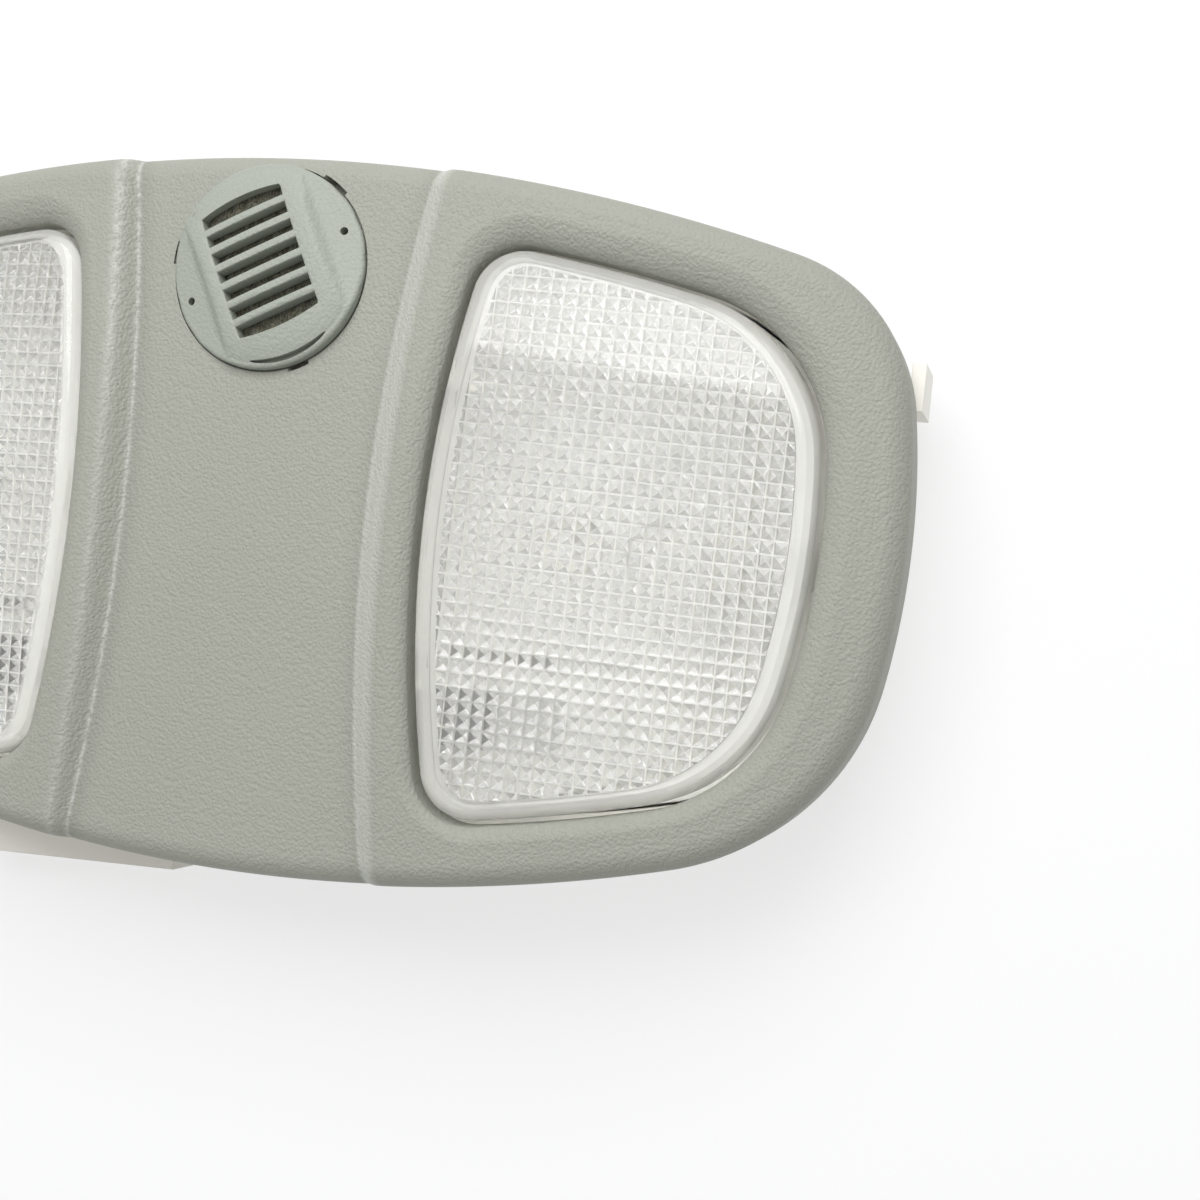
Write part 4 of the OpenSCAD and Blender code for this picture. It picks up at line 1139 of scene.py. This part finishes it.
def step_wear_and_painted_light(tree, shade):
    """Paints shade on the panel beside its steps, lightens their foot lines with wear and a painted
    highlight, and paints a highlight on the left step's top line and a sheen on the right step's slope.
    """
    b = settings("dome_bezel")
    spot = object_place(tree)
    place = node(tree, "ShaderNodeSeparateXYZ", {0: spot})
    side = sums(tree, "ABSOLUTE", place.outputs[0])
    square = sums(tree, "MULTIPLY", place.outputs[1], place.outputs[1])
    right = sums(tree, "GREATER_THAN", place.outputs[0], 0.0)
    left = sums(tree, "SUBTRACT", 1.0, right)
    away = []
    for near, bow in ((b.panel_w / 2, b.panel_bow), (b.panel_w / 2 + b.step_w, b.step_bow)):
        line = sums(tree, "MULTIPLY_ADD", square, 1 / (2 * bow * MM), near * MM)
        away.append(sums(tree, "DIVIDE", sums(tree, "SUBTRACT", side, line), MM))
    foot, top = away
    # Painted shade: the panel darkens towards the foot of each step, over SHADE_WIDTH, more on the left.
    beside = between(tree, foot, -SHADE_WIDTH, 0.0)
    soft = sums(tree, "MULTIPLY", sums(tree, "MULTIPLY", beside, beside), sums(tree, "LESS_THAN", foot, 0.0))
    depth = sums(tree, "MULTIPLY_ADD", left, 0.09, 0.13)
    shade = scaled(tree, shade, sums(tree, "SUBTRACT", 1.0, sums(tree, "MULTIPLY", soft, depth)))
    # Foot lines: wear with a painted highlight, stronger on the left; patchy noise breaks these and the top
    # line up.
    foot_wear_and_highlight = sums(tree, "MULTIPLY_ADD", left, 0.32, 0.16)
    foot_wear_and_highlight = sums(tree, "MULTIPLY", line_bell(tree, foot, 0.5), foot_wear_and_highlight)
    # Painted highlight along the left step's top line, growing stronger from the centre line out to
    # TOP_HIGHLIGHT_REACH.
    top_highlight = sums(tree, "MULTIPLY_ADD", between(tree, place.outputs[1], 0.0, TOP_HIGHLIGHT_REACH), 0.28, 0.22)
    top_highlight = sums(tree, "MULTIPLY", line_bell(tree, top, 1.1), sums(tree, "MULTIPLY", left, top_highlight))
    patchy = between(tree, noise(tree, spot, 900.0, 5.0, Roughness=0.7), 0.36, 0.62, 0.15)
    lines = sums(tree, "MULTIPLY", sums(tree, "ADD", foot_wear_and_highlight, top_highlight), patchy)
    # Painted sheen on the right step's slope.
    slope = sums(tree, "MULTIPLY", between(tree, foot, -0.6, 0.5), between(tree, top, 1.2, -0.8))
    slope = sums(tree, "MULTIPLY", sums(tree, "MULTIPLY", slope, right), 0.42)
    factor = sums(tree, "ADD", lines, slope)
    return node(tree, "ShaderNodeMix", {0: factor, 6: shade, 7: WEAR_AND_SHEEN_COLOUR}, data_type="RGBA").outputs[2]


def line_bell(tree, away, width):
    """A soft peak of one on a line, from the distance to it."""
    far = sums(tree, "DIVIDE", away, width)
    bell = sums(tree, "DIVIDE", 1.0, sums(tree, "MULTIPLY_ADD", far, far, 1.0))
    return sums(tree, "MULTIPLY", bell, bell)


def lamps_pass(tree, body, tint=(1, 1, 1, 1)):
    """Puts a shader out so that shadow rays go through it with a tint."""
    out = tree.nodes["Material Output"]
    through = node(tree, "ShaderNodeBsdfTransparent", {"Color": tint})
    path = node(tree, "ShaderNodeLightPath")
    mix = node(tree, "ShaderNodeMixShader", {
        0: path.outputs["Is Shadow Ray"], 1: body.outputs[0], 2: through.outputs[0]})
    tree.links.new(mix.outputs[0], out.inputs[0])


def seen_rays(tree):
    """One for rays from the camera, off gloss and through clear pieces, and nothing for the rest."""
    path = node(tree, "ShaderNodeLightPath")
    seen = sums(tree, "MAXIMUM", path.outputs["Is Camera Ray"], path.outputs["Is Glossy Ray"])
    return sums(tree, "MAXIMUM", seen, path.outputs["Is Transmission Ray"])


# Way from which the painted light on the lens facets comes.
PAINTED_LIGHT_WAY = (0.5, 0.8, 0.0)
LENS_TINT = (0.6, 0.605, 0.6, 1)
RIM_LINE_FROST = 0.4
RIM_LINE_WIDTH = 0.14
RIM_LINE_DARK = 0.6
MILK = (0.92, 0.915, 0.88, 1)


def clear_plastic(name):
    """Clear moulded plastic that bends light, with painted shade on its facets by their slope, pale strips
    between the pyramids, a frosted rim with a thin dark line inside it, and scuffs."""
    mat, tree, main = shader(name)
    main.inputs["Transmission Weight"].default_value = 1.0
    main.inputs["IOR"].default_value = 1.49
    place = object_place(tree)
    frost = node(tree, "ShaderNodeAttribute", attribute_name="frost").outputs["Fac"]
    scuffs = scuff_lines(tree, place)
    rough = between(tree, noise(tree, place, 220.0, 4.0), 0.3, 0.7, 0.03, 0.09)
    rough = sums(tree, "MULTIPLY_ADD", frost, 0.06, rough)
    tree.links.new(sums(tree, "MULTIPLY_ADD", scuffs, 0.15, rough), main.inputs["Roughness"])
    surface = node(tree, "ShaderNodeNewGeometry")
    # Painted shade: facets turned away from the painted light's way get a base colour down to 0.85; flat
    # strips stay at one.
    slope = node(tree, "ShaderNodeVectorMath", {
        0: surface.outputs["True Normal"], 1: PAINTED_LIGHT_WAY}, operation="DOT_PRODUCT")
    tint = between(tree, slope.outputs["Value"], -0.5, 0.5, 0.85, 1.0)
    normal = node(tree, "ShaderNodeSeparateXYZ", {0: surface.outputs["True Normal"]})
    level = sums(tree, "GREATER_THAN", sums(tree, "ABSOLUTE", normal.outputs[2]), 0.9)
    strips = sums(tree, "MULTIPLY", sums(tree, "MULTIPLY", level, surface.outputs["Backfacing"]),
                  sums(tree, "SUBTRACT", 1.0, frost))
    rim_line = line_bell(tree, sums(tree, "SUBTRACT", frost, RIM_LINE_FROST), RIM_LINE_WIDTH)
    shade = sums(tree, "MULTIPLY_ADD", rim_line, -RIM_LINE_DARK, 1.0)
    shade = sums(tree, "MULTIPLY", sums(tree, "MAXIMUM", tint, strips), shade)
    tree.links.new(shade, main.inputs["Base Color"])
    share = sums(tree, "MULTIPLY", surface.outputs["Backfacing"], 0.2)
    for mask, amount in ((frost, 0.26), (scuffs, 0.14), (strips, 0.3)):
        share = sums(tree, "MULTIPLY_ADD", mask, amount, share)
    milk = node(tree, "ShaderNodeBsdfDiffuse", {"Color": MILK})
    body = node(tree, "ShaderNodeMixShader", {0: share, 1: main.outputs[0], 2: milk.outputs[0]})
    lamps_pass(tree, body, LENS_TINT)
    return mat


SCUFF_AT = (0.0845, -0.0005)
SCUFF_REACH = (0.0075, 0.016)


def scuff_lines(tree, place):
    """Mask of fine lengthwise scuffs on a lens's outer part: bands of stretched noise in a soft patch."""
    split = node(tree, "ShaderNodeSeparateXYZ", {0: place})
    side, ahead = sums(tree, "ABSOLUTE", split.outputs[0]), split.outputs[1]
    spread = [sums(tree, "POWER", sums(tree, "DIVIDE", sums(tree, "SUBTRACT", value, middle), reach), 2.0)
              for value, middle, reach in zip((side, ahead), SCUFF_AT, SCUFF_REACH)]
    patch = between(tree, sums(tree, "ADD", *spread), 0.5, 1.1, 1.0, 0.0)
    bent = node(tree, "ShaderNodeCombineXYZ", {
        0: sums(tree, "MULTIPLY", sums(tree, "MULTIPLY_ADD", ahead, 0.08, side), 1100.0),
        1: sums(tree, "MULTIPLY", ahead, 55.0), 2: 0.0})
    thin = between(tree, noise(tree, bent.outputs[0], 1.0), 0.6, 0.68)
    return sums(tree, "MULTIPLY", patch, thin)


def plain_plastic(name, colour, groups, rough=0.4, strength=0.08):
    """Smooth moulded plastic with a faint unevenness."""
    mat, tree, main = shader(name)
    tree.links.new(blotched(tree, groups, colour, 60.0, 0.05), main.inputs["Base Color"])
    fine = noise(tree, object_place(tree), 1200.0, 3.0)
    edges = node(tree, "ShaderNodeBevel", {"Radius": 0.0003})
    bump = node(tree, "ShaderNodeBump", {
        "Height": fine, "Strength": strength, "Distance": 0.0001, "Normal": edges.outputs[0]})
    tree.links.new(bump.outputs[0], main.inputs["Normal"])
    tree.links.new(sums(tree, "MULTIPLY_ADD", fine, 0.1, rough - 0.05), main.inputs["Roughness"])
    return mat


def metal(name, colour, groups):
    """Rolled or drawn metal with fine streaks in its gloss."""
    mat, tree, main = shader(name)
    tree.links.new(blotched(tree, groups, colour, 150.0, 0.08), main.inputs["Base Color"])
    main.inputs["Metallic"].default_value = 1.0
    long = node(tree, "ShaderNodeMapping", {"Vector": object_place(tree), "Scale": (200.0, 2500.0, 2500.0)})
    streak = noise(tree, long.outputs[0], 1.0, 3.0)
    tree.links.new(sums(tree, "MULTIPLY_ADD", streak, 0.16, 0.22), main.inputs["Roughness"])
    return mat


FIBRE_WAYS = ((0.4, (5200, 1400, 2600)), (1.9, (4800, 1200, 2600)), (2.9, (6000, 1700, 2600)))


def felt_fabric(name, colour):
    """Dark felt: short fibres from stretched noise, light and dark, with a matt sheen."""
    mat, tree, main = shader(name)
    place = object_place(tree)
    ways = []
    for turn, stretch in FIBRE_WAYS:
        way = node(tree, "ShaderNodeMapping", {"Vector": place, "Rotation": (0, 0, turn), "Scale": stretch})
        ways.append(noise(tree, way.outputs[0], 1.0, 3.0))
    fibre = sums(tree, "MAXIMUM", sums(tree, "MAXIMUM", ways[0], ways[1]), ways[2])
    ramp_node = node(tree, "ShaderNodeValToRGB", {0: fibre})
    stops = ramp_node.color_ramp.elements
    stops[0].position, stops[1].position = 0.46, 0.74
    stops[0].color = colour4([c * 0.45 for c in colour])
    stops[1].color = colour4([min(1, c * 3.2) for c in colour])
    tree.links.new(ramp_node.outputs[0], main.inputs["Base Color"])
    main.inputs["Roughness"].default_value = 0.95
    main.inputs["Sheen Weight"].default_value = 0.3
    bump = node(tree, "ShaderNodeBump", {"Height": fibre, "Strength": 0.9, "Distance": 0.0004})
    tree.links.new(bump.outputs[0], main.inputs["Normal"])
    return mat


def clear_glass(name):
    """Bulb glass."""
    mat, tree, main = shader(name)
    main.inputs["Transmission Weight"].default_value = 1.0
    main.inputs["IOR"].default_value = 1.5
    film = noise(tree, object_place(tree), 300.0)
    tree.links.new(sums(tree, "MULTIPLY", film, 0.08), main.inputs["Roughness"])
    lamps_pass(tree, main)
    return mat


def finishes():
    """Every material by name, made once."""
    if "finish_bezel" in bpy.data.materials:
        made = [m for m in bpy.data.materials if m.name.startswith("finish_")]
        return {m.name.removeprefix("finish_"): m for m in made}
    c = settings("dome_colours")
    groups = {"grain": moulded_grain(), "blotches": soft_blotches()}
    return {
        "bezel": grained_plastic("finish_bezel", c.bezel, groups, step_wear_and_light=True),
        "cap": grained_plastic("finish_cap", c.cap, groups, strength=0.55, rough=0.5),
        "cream": plain_plastic("finish_cream", c.cream, groups),
        "white": plain_plastic("finish_white", (0.8, 0.8, 0.77), groups, rough=0.45),
        "black": plain_plastic("finish_black", (0.03, 0.03, 0.03), groups, rough=0.5),
        "board": plain_plastic("finish_board", (0.05, 0.16, 0.08), groups, rough=0.35),
        "rubber": plain_plastic("finish_rubber", (0.02, 0.02, 0.02), groups, rough=0.8, strength=0.3),
        "clear": clear_plastic("finish_clear"),
        "glass": clear_glass("finish_glass"),
        "brass": metal("finish_brass", (0.72, 0.55, 0.25), groups),
        "steel": metal("finish_steel", (0.62, 0.63, 0.64), groups),
        "felt": felt_fabric("finish_felt", c.felt),
    }


CAD_FINISHES = {
    "rear_housing": "cream", "connector_shroud": "cream", "circuit_board": "board",
    "connector_pins": "brass", "sensor_boot": "rubber", "sensor_capsule": "steel",
    "housing_screws": "steel", "spring_clips": "steel",
}
SIDE_FINISHES = {
    "reflector": "white", "bulb_socket": "black", "bulb": "glass", "switch": "cream", "plunger": "white",
    "contact_strips": "brass",
}


# Stage

CAMERA_AT = (139.53, -13.16, 305.14)
CAMERA_AXES = ((0.958, 0.1059, -0.2666), (-0.0982, 0.9943, 0.0421), (0.2695, -0.0142, 0.9629))
FOCAL_PIXELS = 1700
FRAME_PIXELS = 1200
SENSOR = 36.0
FLOOR_REACH = 3.0
FLOOR_GLOW = 0.65
SKY = 0.44
LIGHTS = (("overhead", (-0.2, 0.05, 1.05), 1.0, 1.5), ("window", (0.03, 0.46, 0.66), 0.6, 5.9))


class DOME_OT_stage(bpy.types.Operator):
    """Floor, soft studio light, white surroundings and the camera of the photograph"""

    bl_idname = "dome.stage"
    bl_label = "Stage"

    def execute(self, context):
        scene = context.scene
        data = bpy.data.cameras.new("camera")
        data.sensor_width = SENSOR
        data.lens = FOCAL_PIXELS / FRAME_PIXELS * SENSOR
        data.clip_start, data.clip_end = 0.01, 50
        camera = bpy.data.objects.new("camera", data)
        x, y, z = (Vector(a).normalized() for a in CAMERA_AXES)
        z = x.cross(y).normalized()
        y = z.cross(x)
        turn = Matrix((x, y, z)).transposed().to_4x4()
        camera.matrix_world = Matrix.Translation(Vector(CAMERA_AT) * MM) @ turn
        scene.collection.objects.link(camera)
        scene.camera = camera
        self.floor(scene)
        self.lights(scene)
        scene.view_settings.view_transform = "Standard"
        return {"FINISHED"}

    def floor(self, scene):
        """A wide pale floor that the camera sees near white, with the object's shadow."""
        mesh = bpy.data.meshes.new("floor")
        corners = [(x * FLOOR_REACH, y * FLOOR_REACH, 0) for x, y in ((-1, -1), (1, -1), (1, 1), (-1, 1))]
        mesh.from_pydata(corners, [], [(0, 1, 2, 3)])
        floor = bpy.data.objects.new("floor", mesh)
        scene.collection.objects.link(floor)
        mat, tree, main = shader("pale_floor")
        out = tree.nodes["Material Output"]
        main.inputs["Base Color"].default_value = colour4(settings("dome_colours").floor)
        main.inputs["Roughness"].default_value = 0.9
        main.inputs["Specular IOR Level"].default_value = 0.0
        glow = node(tree, "ShaderNodeEmission", {"Color": (1, 1, 1, 1), "Strength": 1.0})
        mix = node(tree, "ShaderNodeMixShader", {
            0: sums(tree, "MULTIPLY", seen_rays(tree), FLOOR_GLOW), 1: main.outputs[0], 2: glow.outputs[0]})
        tree.links.new(mix.outputs[0], out.inputs[0])
        mesh.materials.append(mat)

    def lights(self, scene):
        """A broad overhead light, a smaller one from beyond the front edge, and white surroundings."""
        for name, at, width, power in LIGHTS:
            data = bpy.data.lights.new(name, "AREA")
            data.shape, data.size, data.energy = "SQUARE", width, power
            lamp = bpy.data.objects.new(name, data)
            lamp.location = at
            lamp.rotation_mode = "QUATERNION"
            lamp.rotation_quaternion = Vector(at).to_track_quat("Z", "Y")
            scene.collection.objects.link(lamp)
        world = bpy.data.worlds.new("studio")
        world.use_nodes = True
        tree = world.node_tree
        back = tree.nodes["Background"]
        tree.links.new(between(tree, seen_rays(tree), 0.0, 1.0, SKY), back.inputs["Strength"])
        back.inputs["Color"].default_value = (1, 1, 1, 1)
        scene.world = world


class DOME_OT_bezel(bpy.types.Operator):
    """The grained bezel"""

    bl_idname = "dome.bezel"
    bl_label = "Bezel"

    def execute(self, context):
        finish_piece(make_bezel(), finishes()["bezel"], LAMP, "bezel", "bezel")
        finish_piece(make_bosses(), finishes()["bezel"], LAMP, "bezel", "bezel")
        return {"FINISHED"}


class DOME_OT_lenses(bpy.types.Operator):
    """The two prismatic push lenses"""

    bl_idname = "dome.lenses"
    bl_label = "Lenses"

    def execute(self, context):
        for side in SIDES:
            for made in (make_lens(side), make_hinge(side)):
                finish_piece(made, finishes()["clear"], f"lens_{side}", "lens", f"lens_{side}")
        return {"FINISHED"}


class DOME_OT_cap(bpy.types.Operator):
    """The slotted grille cap"""

    bl_idname = "dome.cap"
    bl_label = "Grille cap"

    def execute(self, context):
        finish_piece(cut_cap(make_cap()), finishes()["cap"], LAMP, "cap", "grille_cap")
        finish_piece(make_felt(), finishes()["felt"], LAMP, "felt", "felt_disc")
        return {"FINISHED"}


class DOME_OT_frame_finishes(bpy.types.Operator):
    """Finishes of the pieces that come straight from the frame"""

    bl_idname = "dome.frame_finishes"
    bl_label = "Inner pieces"

    def execute(self, context):
        made = finishes()
        named = dict(CAD_FINISHES)
        for side in SIDES:
            named.update({f"{name}_{side}": finish for name, finish in SIDE_FINISHES.items()})
        for name, finish in named.items():
            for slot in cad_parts[name].material_slots:
                slot.material = made[finish]
        return {"FINISHED"}


class DOME_PT_panel(bpy.types.Panel):
    """Buttons that build the light piece by piece"""

    bl_idname = "DOME_PT_panel"
    bl_label = "Dome Light"
    bl_space_type = "VIEW_3D"
    bl_region_type = "UI"
    bl_category = "Dome Light"

    def draw(self, context):
        for name in STEPS:
            self.layout.operator(f"dome.{name}")


STEPS = ("stage", "bezel", "lenses", "cap", "frame_finishes")
GROUPS = {"dome_bezel": BezelSizes, "dome_lens": LensSizes, "dome_cap": CapSizes, "dome_colours": Colours}
CLASSES = (BezelSizes, LensSizes, CapSizes, Colours, DOME_OT_stage, DOME_OT_bezel, DOME_OT_lenses,
           DOME_OT_cap, DOME_OT_frame_finishes, DOME_PT_panel)


def register():
    """Registers the classes and hangs the property groups on the scene."""
    for made in CLASSES:
        bpy.utils.register_class(made)
    for name, made in GROUPS.items():
        setattr(bpy.types.Scene, name, PointerProperty(type=made))


def unregister():
    """Takes them off again."""
    for name in GROUPS:
        delattr(bpy.types.Scene, name)
    for made in reversed(CLASSES):
        bpy.utils.unregister_class(made)


def main():
    """Builds every piece."""
    register()
    for name in STEPS:
        getattr(bpy.ops.dome, name)()
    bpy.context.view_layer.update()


if __name__ == "__main__":
    main()
